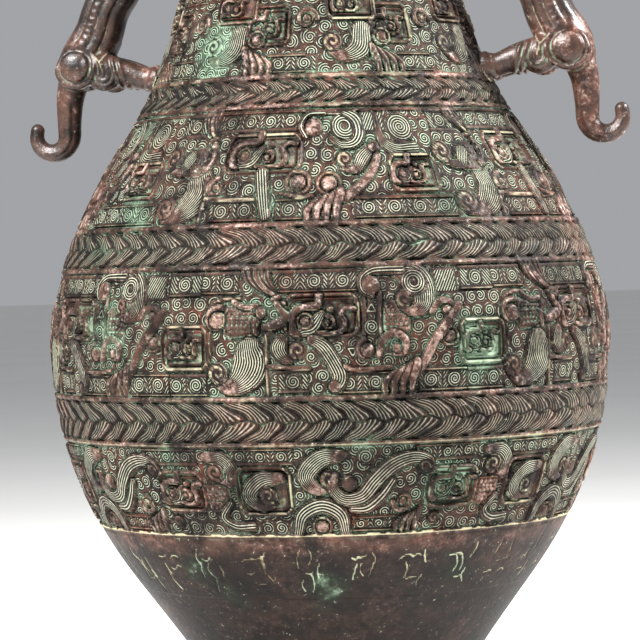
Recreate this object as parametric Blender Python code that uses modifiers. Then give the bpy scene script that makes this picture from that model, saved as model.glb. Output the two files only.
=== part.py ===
"""Bronze hu vase with relief bands and two feline handles. Metres, +Z up, origin under the foot's centre."""
import math

import bmesh
import bpy
from mathutils import Matrix, Vector

# Driving dimensions, all in metres

HEIGHT = 0.455
WALL = 0.0028
FLOOR_THICKNESS = 0.0045
GAP = 0.0003

# Outer radius and its change with height, at the heights that shape the body
FOOT_JOIN_Z = 0.036
FOOT_JOIN_RADIUS = 0.0615
FOOT_JOIN_SLOPE = 0.62
LOWER_BELLY_Z = 0.084
LOWER_BELLY_RADIUS = 0.0955
LOWER_BELLY_SLOPE = 0.74
BELLY_Z = 0.198
BELLY_RADIUS = 0.1350
SHOULDER_Z = 0.278
SHOULDER_RADIUS = 0.1090
SHOULDER_SLOPE = -0.56
NECK_BASE_Z = 0.322
NECK_BASE_RADIUS = 0.0828
NECK_BASE_SLOPE = -0.42
THROAT_Z = 0.400
THROAT_RADIUS = 0.0635
MOUTH_RADIUS = 0.0795
MOUTH_SLOPE = 0.55

# Foot ring and mouth lip
FOOT_RADIUS = 0.0765
FOOT_EDGE_HEIGHT = 0.009
FOOT_EDGE_STEP = 0.0015
FOOT_RING_WIDTH = 0.0055
FOOT_FILLET_RADIUS = 0.0655
FOOT_FILLET_Z = 0.021
LIP_HEIGHT = 0.010
LIP_STEP = 0.0022

# Heights of the raised lines that part the bands
INSCRIPTION_TOP_Z = 0.1128
BAND_4_TOP_Z = 0.1550
ROPE_3_TOP_Z = 0.1757
BAND_3_TOP_Z = 0.2347
ROPE_2_TOP_Z = 0.2534
BAND_2_TOP_Z = 0.3080
ROPE_1_TOP_Z = 0.3217
NECK_BAND_TOP_Z = 0.3700
LINE_RISE = 0.0011

# Relief, as heights above the plain wall
ROPE_CROWN = 0.0014
ROPE_LOBE_RISE = 0.0011
ROPE_VALLEY = 0.0004
FIGURE_RISE = 0.0016

# How the turned surface is divided
SEGMENTS = 60
CAVITY_SEGMENTS = 28
ROPE_ROWS = 3

# Figures of the relief bands: how often each band's group repeats, and each volute, head or limb as
# its place along and across the group, both as shares, with its half length and half height
BAND_REPEATS = {"neck": 6, "band_2": 4, "band_3": 6, "band_4": 6}
NECK_FIGURES = ((0.36, 0.52, 0.14, 0.26), (0.68, 0.50, 0.12, 0.28))
BAND_2_FIGURES = ((0.20, 0.30, 0.09, 0.26), (0.45, 0.62, 0.13, 0.24), (0.72, 0.70, 0.08, 0.20),
                  (0.88, 0.32, 0.10, 0.22))
BAND_3_FIGURES = ((0.16, 0.24, 0.12, 0.20), (0.42, 0.68, 0.17, 0.24), (0.66, 0.62, 0.09, 0.30),
                  (0.88, 0.34, 0.10, 0.24))
BAND_4_FIGURES = ((0.24, 0.46, 0.16, 0.32), (0.58, 0.30, 0.12, 0.22), (0.80, 0.60, 0.12, 0.30))

# Handles, in the plane that runs out from the vase's axis: place out, place up
LEG_Z = 0.328
LEG_RADIUS = 0.0060
LEG_SPREAD = 0.0074
FOOT_PAD = 1.25
FOREFOOT_Z = 0.372
FOREFOOT_RADIUS = 0.0052
HAUNCH_OUT = 0.1205
HAUNCH_Z = 0.3345
HAUNCH_RADIUS = 0.0125
CHEST_OUT = 0.0990
CHEST_Z = 0.3790
CHEST_RADIUS = 0.0105
BODY_RADIUS = 0.0115
HEAD_OUT = 0.1120
HEAD_Z = 0.4020
HEAD_RADIUS = 0.0110
MUZZLE_LENGTH = 0.0160
MUZZLE_RADIUS = 0.0062
EAR_LENGTH = 0.0110
EAR_RADIUS = 0.0034
TAIL_OUT = 0.1285
TAIL_ROOT_RADIUS = 0.0066
TAIL_TIP_RADIUS = 0.0034
HOOK_Z = 0.3020
HOOK_RADIUS = 0.0085

# Sides of a limb's section and rings along a limb
BODY_SIDES = 10
LIMB_SIDES = 8
EAR_SIDES = 6


def clear_scene():
    for item in list(bpy.data.objects):
        bpy.data.objects.remove(item, do_unlink=True)


def collection(name):
    group = bpy.data.collections.new(name)
    bpy.context.scene.collection.children.link(group)
    return group


def bronze(name, colour, roughness):
    material = bpy.data.materials.new(name)
    material.use_nodes = True
    shader = material.node_tree.nodes["Principled BSDF"]
    shader.inputs["Base Color"].default_value = (*colour, 1.0)
    shader.inputs["Roughness"].default_value = roughness
    shader.inputs["Metallic"].default_value = 0.75
    return material


# Profile of the vessel

def smooth_run(z, z0, r0, slope0, z1, r1, slope1):
    """Cubic curve between two heights with a given slope at each end."""
    h = z1 - z0
    t = (z - z0) / h
    return ((2 * t ** 3 - 3 * t ** 2 + 1) * r0 + (t ** 3 - 2 * t ** 2 + t) * h * slope0
            + (3 * t ** 2 - 2 * t ** 3) * r1 + (t ** 3 - t ** 2) * h * slope1)


def body_radius(z):
    """Outer radius of the plain wall, without lines or relief."""
    stations = (
        (FOOT_JOIN_Z, FOOT_JOIN_RADIUS, FOOT_JOIN_SLOPE),
        (LOWER_BELLY_Z, LOWER_BELLY_RADIUS, LOWER_BELLY_SLOPE),
        (BELLY_Z, BELLY_RADIUS, 0.0),
        (SHOULDER_Z, SHOULDER_RADIUS, SHOULDER_SLOPE),
        (NECK_BASE_Z, NECK_BASE_RADIUS, NECK_BASE_SLOPE),
        (THROAT_Z, THROAT_RADIUS, 0.0),
        (HEIGHT, MOUTH_RADIUS, MOUTH_SLOPE),
    )
    for low, high in zip(stations, stations[1:]):
        if z <= high[0]:
            return smooth_run(z, *low, *high)
    return MOUTH_RADIUS


def between(low, high, count):
    """Evenly spaced heights inside a band, without its ends."""
    return [low + (high - low) * (i + 1) / (count + 1) for i in range(count)]


def lines():
    return (INSCRIPTION_TOP_Z, BAND_4_TOP_Z, ROPE_3_TOP_Z, BAND_3_TOP_Z,
            ROPE_2_TOP_Z, BAND_2_TOP_Z, ROPE_1_TOP_Z, NECK_BAND_TOP_Z)


def ropes():
    return ((BAND_4_TOP_Z, ROPE_3_TOP_Z), (BAND_3_TOP_Z, ROPE_2_TOP_Z), (BAND_2_TOP_Z, ROPE_1_TOP_Z))


def figure_bands():
    """Name, bottom, top, rows and figures of each relief band."""
    return (("band_4", INSCRIPTION_TOP_Z, BAND_4_TOP_Z, 3, BAND_4_FIGURES),
            ("band_3", ROPE_3_TOP_Z, BAND_3_TOP_Z, 4, BAND_3_FIGURES),
            ("band_2", ROPE_2_TOP_Z, BAND_2_TOP_Z, 3, BAND_2_FIGURES),
            ("neck", ROPE_1_TOP_Z, NECK_BAND_TOP_Z, 3, NECK_FIGURES))


def outer_heights():
    """Heights of the rows of the outer wall, from the mouth down to the foot's join."""
    lip_z = HEIGHT - LIP_HEIGHT
    rows = between(NECK_BAND_TOP_Z, lip_z, 3)
    for low, high in ropes():
        rows += between(low, high, ROPE_ROWS)
    for _, low, high, count, _ in figure_bands():
        rows += between(low, high, count)
    rows += between(FOOT_JOIN_Z, INSCRIPTION_TOP_Z, 4)
    rows += lines()
    return sorted(rows, reverse=True)


def outer_profile():
    """Closed outline of the solid vase, from the axis at the top to the axis at the bottom."""
    lip_z = HEIGHT - LIP_HEIGHT
    points = [(0.0, HEIGHT), (MOUTH_RADIUS + LIP_STEP, HEIGHT)]
    points.append((body_radius(lip_z) + LIP_STEP, lip_z + LIP_STEP / 2))
    points.append((body_radius(lip_z), lip_z))
    for z in outer_heights():
        rise = LINE_RISE if z in lines() else 0.0
        points.append((body_radius(z) + rise, z))
    points.append((FOOT_JOIN_RADIUS, FOOT_JOIN_Z))
    points.append((FOOT_FILLET_RADIUS, FOOT_FILLET_Z))
    points.append((FOOT_RADIUS - FOOT_EDGE_STEP, FOOT_EDGE_HEIGHT))
    points.append((FOOT_RADIUS, FOOT_EDGE_HEIGHT))
    points.append((FOOT_RADIUS, 0.0))
    points.append((0.0, 0.0))
    return points


def floor_z():
    """Height of the inside floor at the axis."""
    return FOOT_JOIN_Z + FLOOR_THICKNESS


def cavity_profile():
    """Outline of the hollow, a wall's thickness inside the plain wall, up past the mouth."""
    above = 0.010
    points = [(0.0, HEIGHT + above), (MOUTH_RADIUS - WALL, HEIGHT + above), (MOUTH_RADIUS - WALL, HEIGHT)]
    heights = (between(THROAT_Z, HEIGHT, 2) + [THROAT_Z] + between(NECK_BASE_Z, THROAT_Z, 1)
               + [NECK_BASE_Z] + between(SHOULDER_Z, NECK_BASE_Z, 1) + [SHOULDER_Z]
               + between(BELLY_Z, SHOULDER_Z, 2) + [BELLY_Z] + between(LOWER_BELLY_Z, BELLY_Z, 2)
               + [LOWER_BELLY_Z] + between(floor_z(), LOWER_BELLY_Z, 1))
    for z in sorted(heights, reverse=True):
        points.append((body_radius(z) - WALL, z))
    points.append((body_radius(floor_z()) - 2 * WALL, floor_z()))
    points.append((0.0, floor_z()))
    return points


def foot_hollow_profile():
    """Outline of the space under the floor, inside the foot ring."""
    below = -0.010
    ring_radius = FOOT_RADIUS - FOOT_RING_WIDTH
    return [(0.0, FOOT_JOIN_Z - WALL), (FOOT_JOIN_RADIUS - 2 * WALL, FOOT_JOIN_Z - WALL),
            (FOOT_FILLET_RADIUS - WALL, FOOT_FILLET_Z), (ring_radius, FOOT_EDGE_HEIGHT),
            (ring_radius, below), (0.0, below)]


def turned(name, points, segments, group):
    """A closed solid of revolution about the Z axis."""
    mesh = bpy.data.meshes.new(name)
    pairs = [(i, i + 1) for i in range(len(points) - 1)]
    mesh.from_pydata([(r, 0.0, z) for r, z in points], pairs, [])
    item = bpy.data.objects.new(name, mesh)
    group.objects.link(item)
    screw = item.modifiers.new("Screw", "SCREW")
    screw.axis = "Z"
    screw.angle = 2 * math.pi
    screw.steps = segments
    screw.render_steps = segments
    screw.use_merge_vertices = True
    screw.merge_threshold = 0.00001
    return item


def evaluated_mesh(item):
    """The object's mesh with its modifiers worked out."""
    depsgraph = bpy.context.evaluated_depsgraph_get()
    return bpy.data.meshes.new_from_object(item.evaluated_get(depsgraph))


def make_mesh(item):
    """Replace an object's mesh and modifiers by the evaluated mesh."""
    bpy.context.view_layer.update()
    mesh = evaluated_mesh(item)
    item.modifiers.clear()
    item.data = mesh
    return item


def as_cutter(item):
    item.hide_render = True
    item.display_type = "WIRE"
    return item


# Relief on the outer wall

def on_figure(u, v, figures):
    """Whether a raised figure covers the share u along and v across its group."""
    for place_u, place_v, half_u, half_v in figures:
        if math.hypot((u - place_u) / half_u, (v - place_v) / half_v) < 1.0:
            return True
    return False


def band_relief(angle, z):
    """Raised figures of the band that holds this point."""
    for name, low, high, _, figures in figure_bands():
        if low < z < high:
            across = (z - low) / (high - low)
            along = (angle / (2 * math.pi) * BAND_REPEATS[name]) % 1.0
            return FIGURE_RISE if on_figure(along, across, figures) else 0.0
    return 0.0


def rope_relief(step, z):
    """Two rows of lobes that lean against each other, on a convex moulding."""
    for low, high in ropes():
        if low < z < high:
            across = (z - low) / (high - low)
            crown = ROPE_CROWN * math.sin(math.pi * across)
            if abs(across - 0.5) < 0.1:
                return crown - ROPE_VALLEY
            upper = across > 0.5
            lobe = (step + (1 if upper else 0)) % 2
            return crown + ROPE_LOBE_RISE * lobe
    return 0.0


def refine_ropes(bm):
    """Halve the facets round each rope band, so that a lobe is two facets long."""
    inside = []
    for edge in bm.edges:
        z0, z1 = (vert.co.z for vert in edge.verts)
        level = abs(z0 - z1) < GAP
        if level and any(low + GAP < z0 < high - GAP for low, high in ropes()):
            inside.append(edge)
    bmesh.ops.subdivide_edges(bm, edges=inside, cuts=1, use_grid_fill=True)


def on_handle_seat(x, y, z):
    """Whether a point lies on the bare strip of the neck where a handle's feet are soldered."""
    facet = 2 * math.pi * math.hypot(x, y) / SEGMENTS
    half_width = LEG_SPREAD + LEG_RADIUS * FOOT_PAD + facet
    return z > ROPE_1_TOP_Z and abs(x) > abs(y) and abs(y) < half_width


def raise_relief(item):
    bm = bmesh.new()
    bm.from_mesh(item.data)
    refine_ropes(bm)
    for vert in bm.verts:
        radius = math.hypot(vert.co.x, vert.co.y)
        if radius < body_radius(max(vert.co.z, FOOT_JOIN_Z)) / 2:
            continue
        angle = math.atan2(vert.co.y, vert.co.x) % (2 * math.pi)
        step = round(angle / (2 * math.pi) * 2 * SEGMENTS)
        if any(low + GAP < vert.co.z < high - GAP for low, high in ropes()):
            reach = body_radius(vert.co.z) + rope_relief(step, vert.co.z)
        elif on_handle_seat(*vert.co):
            reach = radius
        else:
            reach = radius + band_relief(angle, vert.co.z)
        vert.co.x *= reach / radius
        vert.co.y *= reach / radius
    bm.to_mesh(item.data)
    bm.free()


def cut(item, cutter):
    boolean = item.modifiers.new("Cut", "BOOLEAN")
    boolean.operation = "DIFFERENCE"
    boolean.solver = "EXACT"
    boolean.object = cutter


def make_vessel(parts, cutters):
    vessel = make_mesh(turned("vessel", outer_profile(), SEGMENTS, parts))
    raise_relief(vessel)
    cut(vessel, as_cutter(turned("cavity_cutter", cavity_profile(), CAVITY_SEGMENTS, cutters)))
    cut(vessel, as_cutter(turned("foot_cutter", foot_hollow_profile(), CAVITY_SEGMENTS, cutters)))
    return vessel


# Handles

def spline(points, count):
    """Points on a smooth curve through the given points, each with its own values blended."""
    result = []
    last = len(points) - 1
    for i in range(count + 1):
        place = i / count * last
        k = min(int(place), last - 1)
        t = place - k
        before = points[max(k - 1, 0)]
        start, end = points[k], points[k + 1]
        after = points[min(k + 2, last)]
        row = []
        for p0, p1, p2, p3 in zip(before, start, end, after):
            row.append(0.5 * (2 * p1 + (p2 - p0) * t + (2 * p0 - 5 * p1 + 4 * p2 - p3) * t ** 2
                              + (3 * p1 - p0 - 3 * p2 + p3) * t ** 3))
        result.append(row)
    return result


def limb(stations, count, sides, group, name):
    """A closed solid along a smooth curve; a station is x, y, z, half width across, half depth."""
    bm = bmesh.new()
    rows = spline(stations, count)
    rings = []
    for i, (x, y, z, across, deep) in enumerate(rows):
        centre = Vector((x, y, z))
        ahead = Vector(rows[min(i + 1, count)][:3]) - Vector(rows[max(i - 1, 0)][:3])
        ahead.normalize()
        side = Vector((0.0, 1.0, 0.0))
        side -= ahead * side.dot(ahead)
        side.normalize()
        out = side.cross(ahead)
        ring = []
        for k in range(sides):
            a = 2 * math.pi * (k + 0.5) / sides
            ring.append(bm.verts.new(centre + side * (across * math.cos(a)) + out * (deep * math.sin(a))))
        rings.append(ring)
    for low, high in zip(rings, rings[1:]):
        for k in range(sides):
            bm.faces.new((low[k], low[(k + 1) % sides], high[(k + 1) % sides], high[k]))
    bm.faces.new(list(reversed(rings[0])))
    bm.faces.new(rings[-1])
    bmesh.ops.recalc_face_normals(bm, faces=bm.faces)
    mesh = bpy.data.meshes.new(name)
    bm.to_mesh(mesh)
    bm.free()
    item = bpy.data.objects.new(name, mesh)
    group.objects.link(item)
    return item


def ball(x, y, z, radii, group, name, turn=0.0):
    """A rounded lump with its own three half widths, turned in the handle's plane."""
    bm = bmesh.new()
    bmesh.ops.create_uvsphere(bm, u_segments=LIMB_SIDES, v_segments=5, radius=1.0)
    place = Matrix.Translation((x, y, z)) @ Matrix.Rotation(turn, 4, "Y") @ Matrix.Diagonal((*radii, 1.0))
    bmesh.ops.transform(bm, matrix=place, verts=bm.verts)
    mesh = bpy.data.meshes.new(name)
    bm.to_mesh(mesh)
    bm.free()
    item = bpy.data.objects.new(name, mesh)
    group.objects.link(item)
    return item


def leg_stations(y):
    """Hind leg, from inside the socket against the wall out to the haunch."""
    wall = body_radius(LEG_Z) + GAP
    hock_out = wall + 0.45 * (HAUNCH_OUT - wall)
    return [
        (wall - WALL / 2, y, LEG_Z - 0.0010, LEG_RADIUS * FOOT_PAD, LEG_RADIUS * FOOT_PAD),
        (wall + 0.0070, y, LEG_Z, LEG_RADIUS * 0.95, LEG_RADIUS * 0.95),
        (hock_out, y, LEG_Z + 0.0035, LEG_RADIUS, LEG_RADIUS * 1.15),
        (HAUNCH_OUT - 0.0040, y * 0.9, HAUNCH_Z, LEG_RADIUS * 1.2, LEG_RADIUS * 1.5),
    ]


def foreleg_stations(y):
    """Foreleg, from the neck out to the chest."""
    wall = body_radius(FOREFOOT_Z) + GAP
    return [
        (wall - WALL / 2, y, FOREFOOT_Z, FOREFOOT_RADIUS * FOOT_PAD, FOREFOOT_RADIUS * FOOT_PAD),
        (wall + 0.0100, y, FOREFOOT_Z + 0.0010, FOREFOOT_RADIUS * 0.9, FOREFOOT_RADIUS * 0.9),
        (CHEST_OUT - 0.0020, y * 0.8, CHEST_Z, FOREFOOT_RADIUS, FOREFOOT_RADIUS * 1.3),
    ]


def body_stations():
    """Trunk, from the haunch up and in to the chest and out again to the head."""
    return [
        (HAUNCH_OUT + 0.0010, 0.0, HAUNCH_Z - 0.0040, HAUNCH_RADIUS * 0.75, HAUNCH_RADIUS * 0.70),
        (HAUNCH_OUT, 0.0, HAUNCH_Z + 0.0020, HAUNCH_RADIUS, HAUNCH_RADIUS),
        (HAUNCH_OUT - 0.0080, 0.0, HAUNCH_Z + 0.0160, BODY_RADIUS, BODY_RADIUS * 1.05),
        (0.5 * (HAUNCH_OUT + CHEST_OUT) - 0.0020, 0.0, HAUNCH_Z + 0.0290, BODY_RADIUS, BODY_RADIUS),
        (CHEST_OUT, 0.0, CHEST_Z, CHEST_RADIUS, CHEST_RADIUS * 1.1),
        (CHEST_OUT + 0.0030, 0.0, CHEST_Z + 0.0120, CHEST_RADIUS * 0.85, CHEST_RADIUS * 0.85),
        (HEAD_OUT - 0.0040, 0.0, HEAD_Z, HEAD_RADIUS * 0.80, HEAD_RADIUS * 0.80),
    ]


def tail_stations():
    """Tail, straight down from the haunch, then hooked out and up again."""
    stations = [
        (HAUNCH_OUT + 0.0040, 0.0, HAUNCH_Z - 0.0030, TAIL_ROOT_RADIUS * 1.15, TAIL_ROOT_RADIUS * 1.25),
        (TAIL_OUT - 0.0008, 0.0, HAUNCH_Z - 0.0140, TAIL_ROOT_RADIUS, TAIL_ROOT_RADIUS * 1.05),
        (TAIL_OUT, 0.0, HOOK_Z + 0.0060, TAIL_ROOT_RADIUS * 0.88, TAIL_ROOT_RADIUS * 0.9),
    ]
    turns = 6
    for i in range(turns + 1):
        share = i / turns
        a = math.pi + share * math.radians(205)
        thick = TAIL_ROOT_RADIUS * 0.86 + (TAIL_TIP_RADIUS - TAIL_ROOT_RADIUS * 0.86) * share
        centre_out = TAIL_OUT + HOOK_RADIUS
        stations.append((centre_out + HOOK_RADIUS * math.cos(a), 0.0, HOOK_Z + HOOK_RADIUS * math.sin(a),
                         thick, thick))
    return stations


def muzzle_stations():
    """Head drawn out into a muzzle that looks away from the vase."""
    return [
        (HEAD_OUT - HEAD_RADIUS * 0.6, 0.0, HEAD_Z + 0.0020, HEAD_RADIUS * 0.80, HEAD_RADIUS * 0.80),
        (HEAD_OUT, 0.0, HEAD_Z + 0.0010, HEAD_RADIUS, HEAD_RADIUS * 0.95),
        (HEAD_OUT + MUZZLE_LENGTH * 0.6, 0.0, HEAD_Z - 0.0020, MUZZLE_RADIUS, MUZZLE_RADIUS),
        (HEAD_OUT + MUZZLE_LENGTH, 0.0, HEAD_Z - 0.0030, MUZZLE_RADIUS * 0.75, MUZZLE_RADIUS * 0.75),
    ]


def ear_stations(side):
    """Ear that stands up from the head and leans outwards."""
    root_y = side * HEAD_RADIUS * 0.55
    return [
        (HEAD_OUT - 0.0040, root_y, HEAD_Z + HEAD_RADIUS * 0.55, EAR_RADIUS, EAR_RADIUS),
        (HEAD_OUT - 0.0060, root_y * 1.4, HEAD_Z + HEAD_RADIUS * 0.75 + EAR_LENGTH * 0.5,
         EAR_RADIUS * 1.2, EAR_RADIUS * 0.9),
        (HEAD_OUT - 0.0075, root_y * 1.6, HEAD_Z + HEAD_RADIUS * 0.75 + EAR_LENGTH,
         EAR_RADIUS * 0.35, EAR_RADIUS * 0.35),
    ]


def handle_lumps(group):
    """Every lump of one handle on the +X side; they are joined into one casting."""
    lumps = [limb(body_stations(), 8, BODY_SIDES, group, "trunk")]
    lumps.append(limb(tail_stations(), 13, LIMB_SIDES, group, "tail"))
    lumps.append(limb(muzzle_stations(), 4, LIMB_SIDES, group, "muzzle"))
    for side in (-1, 1):
        lumps.append(limb(leg_stations(side * LEG_SPREAD), 4, LIMB_SIDES, group, "hind_leg"))
        lumps.append(limb(foreleg_stations(side * LEG_SPREAD), 3, LIMB_SIDES, group, "foreleg"))
        lumps.append(limb(ear_stations(side), 2, EAR_SIDES, group, "ear"))
        lumps.append(ball(HAUNCH_OUT + 0.0020, side * HAUNCH_RADIUS * 0.72, HAUNCH_Z - 0.0010,
                          (HAUNCH_RADIUS * 0.78, HAUNCH_RADIUS * 0.42, HAUNCH_RADIUS * 0.80), group, "thigh"))
    return lumps


def join_lumps(lumps):
    """Union of the lumps as one mesh."""
    base = lumps[0]
    for other in lumps[1:]:
        boolean = base.modifiers.new("Join", "BOOLEAN")
        boolean.operation = "UNION"
        boolean.solver = "EXACT"
        boolean.object = other
    bpy.context.view_layer.update()
    mesh = evaluated_mesh(base)
    for item in lumps:
        bpy.data.objects.remove(item, do_unlink=True)
    return mesh


def wall_reach(z):
    """How far the vessel's faceted wall reaches out at a height, with its lines and rope lobes."""
    reach = 0.0
    for (r_high, z_high), (r_low, z_low) in zip(outer_profile(), outer_profile()[1:]):
        if z_low <= z <= z_high and z_high > z_low:
            reach = max(reach, r_low + (r_high - r_low) * (z - z_low) / (z_high - z_low))
    if any(low < z < high for low, high in ropes()):
        reach += ROPE_CROWN + ROPE_LOBE_RISE
    return reach


def trim_to_wall(mesh):
    """Keep every point of a handle a small gap clear of the wall that it is soldered to."""
    bm = bmesh.new()
    bm.from_mesh(mesh)
    for vert in bm.verts:
        radius = math.hypot(vert.co.x, vert.co.y)
        clear = wall_reach(vert.co.z) + 2 * GAP
        if radius < clear:
            vert.co.x *= clear / radius
            vert.co.y *= clear / radius
    bm.to_mesh(mesh)
    bm.free()


def make_handle(name, side, parts, cutters):
    mesh = join_lumps(handle_lumps(cutters))
    trim_to_wall(mesh)
    if side < 0:
        mesh.transform(Matrix.Rotation(math.pi, 4, "Z"))
    item = bpy.data.objects.new(name, mesh)
    parts.objects.link(item)
    return item


def finish_shading(item, material):
    item.data.materials.clear()
    item.data.materials.append(material)
    item.data.shade_smooth()
    item.data.set_sharp_from_angle(angle=math.radians(35))


def build():
    clear_scene()
    parts = collection("bronze_hu_vase")
    cutters = collection("cutters")
    vessel = make_vessel(parts, cutters)
    right = make_handle("handle_right", 1, parts, cutters)
    left = make_handle("handle_left", -1, parts, cutters)
    finish_shading(vessel, bronze("vessel_bronze", (0.16, 0.11, 0.085), 0.55))
    finish_shading(right, bronze("handle_right_bronze", (0.22, 0.13, 0.10), 0.5))
    finish_shading(left, bronze("handle_left_bronze", (0.22, 0.13, 0.10), 0.5))


build()
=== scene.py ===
"""Bronze hu vase: relief zones, plaited mouldings, feline handles, patina and a soft studio.

Lengths in the relief drawings are millimetres along and across a band; everything placed is in metres.
"""
import math

import bmesh
import bpy
import numpy as np
from mathutils import Matrix, Vector


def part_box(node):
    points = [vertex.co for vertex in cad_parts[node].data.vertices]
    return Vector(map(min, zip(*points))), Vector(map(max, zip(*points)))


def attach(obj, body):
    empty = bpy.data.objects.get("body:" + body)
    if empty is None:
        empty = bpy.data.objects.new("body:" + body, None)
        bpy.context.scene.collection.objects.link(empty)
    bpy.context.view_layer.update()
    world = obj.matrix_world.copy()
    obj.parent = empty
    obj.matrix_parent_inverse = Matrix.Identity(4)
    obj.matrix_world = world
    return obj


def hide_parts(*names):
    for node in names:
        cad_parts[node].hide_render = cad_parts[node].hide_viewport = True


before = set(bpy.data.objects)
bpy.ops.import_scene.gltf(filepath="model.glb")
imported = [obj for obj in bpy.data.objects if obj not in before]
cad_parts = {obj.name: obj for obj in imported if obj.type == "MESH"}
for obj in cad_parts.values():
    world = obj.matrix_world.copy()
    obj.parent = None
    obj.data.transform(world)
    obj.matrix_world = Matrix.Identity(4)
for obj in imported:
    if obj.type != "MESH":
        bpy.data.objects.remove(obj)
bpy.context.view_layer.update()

bl_info = {
    "name": "Bronze Hu Vase",
    "version": (1, 0, 0),
    "blender": (4, 5, 0),
    "location": "3D View > Sidebar > Hu Vase",
    "description": "Builds a cast bronze hu vase with relief bands, plaits and feline handles",
    "category": "Add Mesh",
}

MM = 0.001
TURN = 2.0 * math.pi
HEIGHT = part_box("vessel")[1][2] / MM

# Plain wall of the vessel in millimetres: height, radius, change of radius with height
WALL_STATIONS = (
    (36.0, 61.5, 0.62), (84.0, 95.5, 0.74), (198.0, 135.0, 0.0), (278.0, 109.0, -0.56),
    (322.0, 82.8, -0.42), (400.0, 63.5, 0.0), (HEIGHT, 79.5, 0.55),
)
WALL = 2.8
FLOOR = 40.5
FLOOR_UNDERSIDE = 33.2
FOOT_JOIN = 36.0
FOOT_JOIN_RADIUS = 61.5
FOOT_FILLET = (65.5, 21.0)
FOOT_RADIUS = 76.5
FOOT_EDGE = 9.0
FOOT_STEP = 1.5
FOOT_RING_WIDTH = 5.5
LIP_STEP = 2.2
LIP_BOTTOM = HEIGHT - 10.0
PLAIN_TOP = 82.0

# Heights of the raised lines between the bands
INSCRIPTION_TOP = 112.8
BAND_4_TOP = 155.0
ROPE_3_TOP = 175.7
BAND_3_TOP = 234.7
ROPE_2_TOP = 253.4
BAND_2_TOP = 308.0
ROPE_1_TOP = 321.7
NECK_BAND_TOP = 370.0

# Levels of the relief above and below the plain wall
GROUND = -0.65
RECESS = -1.25
LINE_TOP = 0.40
FRAME_TOP = 0.30
LIMB_TOP = 0.70
BOSS_TOP = 0.80
FAN_TOP = 0.82
FIELD = GROUND + 0.2

# Counts and distances in the drawings, and a distance beyond any of them
SPIRAL_SPACING = 6.6
GRAIN_PITCH = 2.3
PLAIT_LOBES = 7
PLAIT_LINES = 6.0
STROKE_GROUPS = 27
STROKES_BELOW_LINE = 16.8
STROKE_COLUMN = 4.4
STROKE_ROW = 6.0
FAR = 99.0

# View: where the camera stands round the vase, and how the photo was framed
VIEW_TURN = math.radians(12.0)
BAND_START = -math.pi / 2 + VIEW_TURN
VIEW_PITCH = math.radians(1.02)
VIEW_YAW = math.radians(0.176)
VIEW_ROLL = math.radians(1.6)
SENSOR = 36.0
LENS = 173.6


def wall_radius(z):
    """Radius of the plain wall at a height, both in millimetres; z may be an array."""
    z = np.asarray(z, float)
    radius = np.full(z.shape, WALL_STATIONS[-1][1])
    for (z0, r0, m0), (z1, r1, m1) in reversed(list(zip(WALL_STATIONS, WALL_STATIONS[1:]))):
        h = z1 - z0
        t = (z - z0) / h
        curve = ((2 * t ** 3 - 3 * t ** 2 + 1) * r0 + (t ** 3 - 2 * t ** 2 + t) * h * m0
                 + (3 * t ** 2 - 2 * t ** 3) * r1 + (t ** 3 - t ** 2) * h * m1)
        radius = np.where(z <= z1, curve, radius)
    return radius


def smooth_path(points, steps=8):
    """Points on a smooth curve through the given rows of numbers."""
    rows = np.array(points, float)
    padded = np.vstack((2 * rows[0] - rows[1], rows, 2 * rows[-1] - rows[-2]))
    path = []
    for p0, p1, p2, p3 in zip(padded, padded[1:], padded[2:], padded[3:]):
        for t in np.arange(steps) / steps:
            path.append(0.5 * (2 * p1 + (p2 - p0) * t + (2 * p0 - 5 * p1 + 4 * p2 - p3) * t ** 2
                               + (3 * p1 - p0 - 3 * p2 + p3) * t ** 3))
    path.append(rows[-1])
    return np.array(path)


def spiral_path(s, t, radius, turns, start, way, width, inner=0.6):
    """Rows of place and width on a spiral that winds in to its centre."""
    count = max(8, int(10 * turns))
    rows = []
    for i in range(count + 1):
        share = i / count
        angle = start + way * TURN * turns * share
        r = radius + (inner - radius) * share
        rows.append((s + r * math.cos(angle), t + r * math.sin(angle), width * (1.0 - 0.45 * share)))
    return rows


def ramp(depth, width):
    """0 before an edge, then rising evenly to 1 where the depth past it reaches the width."""
    return np.clip(depth / width, 0.0, 1.0)


def ridge(distance, width):
    """Rounded ridge of height one."""
    return np.exp(-(distance / width) ** 2)


def dome(distance, radius):
    """Half sphere of height one."""
    return np.sqrt(np.clip(1 - (distance / radius) ** 2, 0.0, 1.0))


def beside(along, up, step_along, step_up):
    """Places against a straight step from 0: share of the step, distance, way across, length of the step."""
    size = math.hypot(step_along, step_up) + 1e-9
    share = ramp(along * step_along + up * step_up, size ** 2)
    distance = np.hypot(along - share * step_along, up - share * step_up)
    return share, distance, (along * step_up - up * step_along) / size, size


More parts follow.
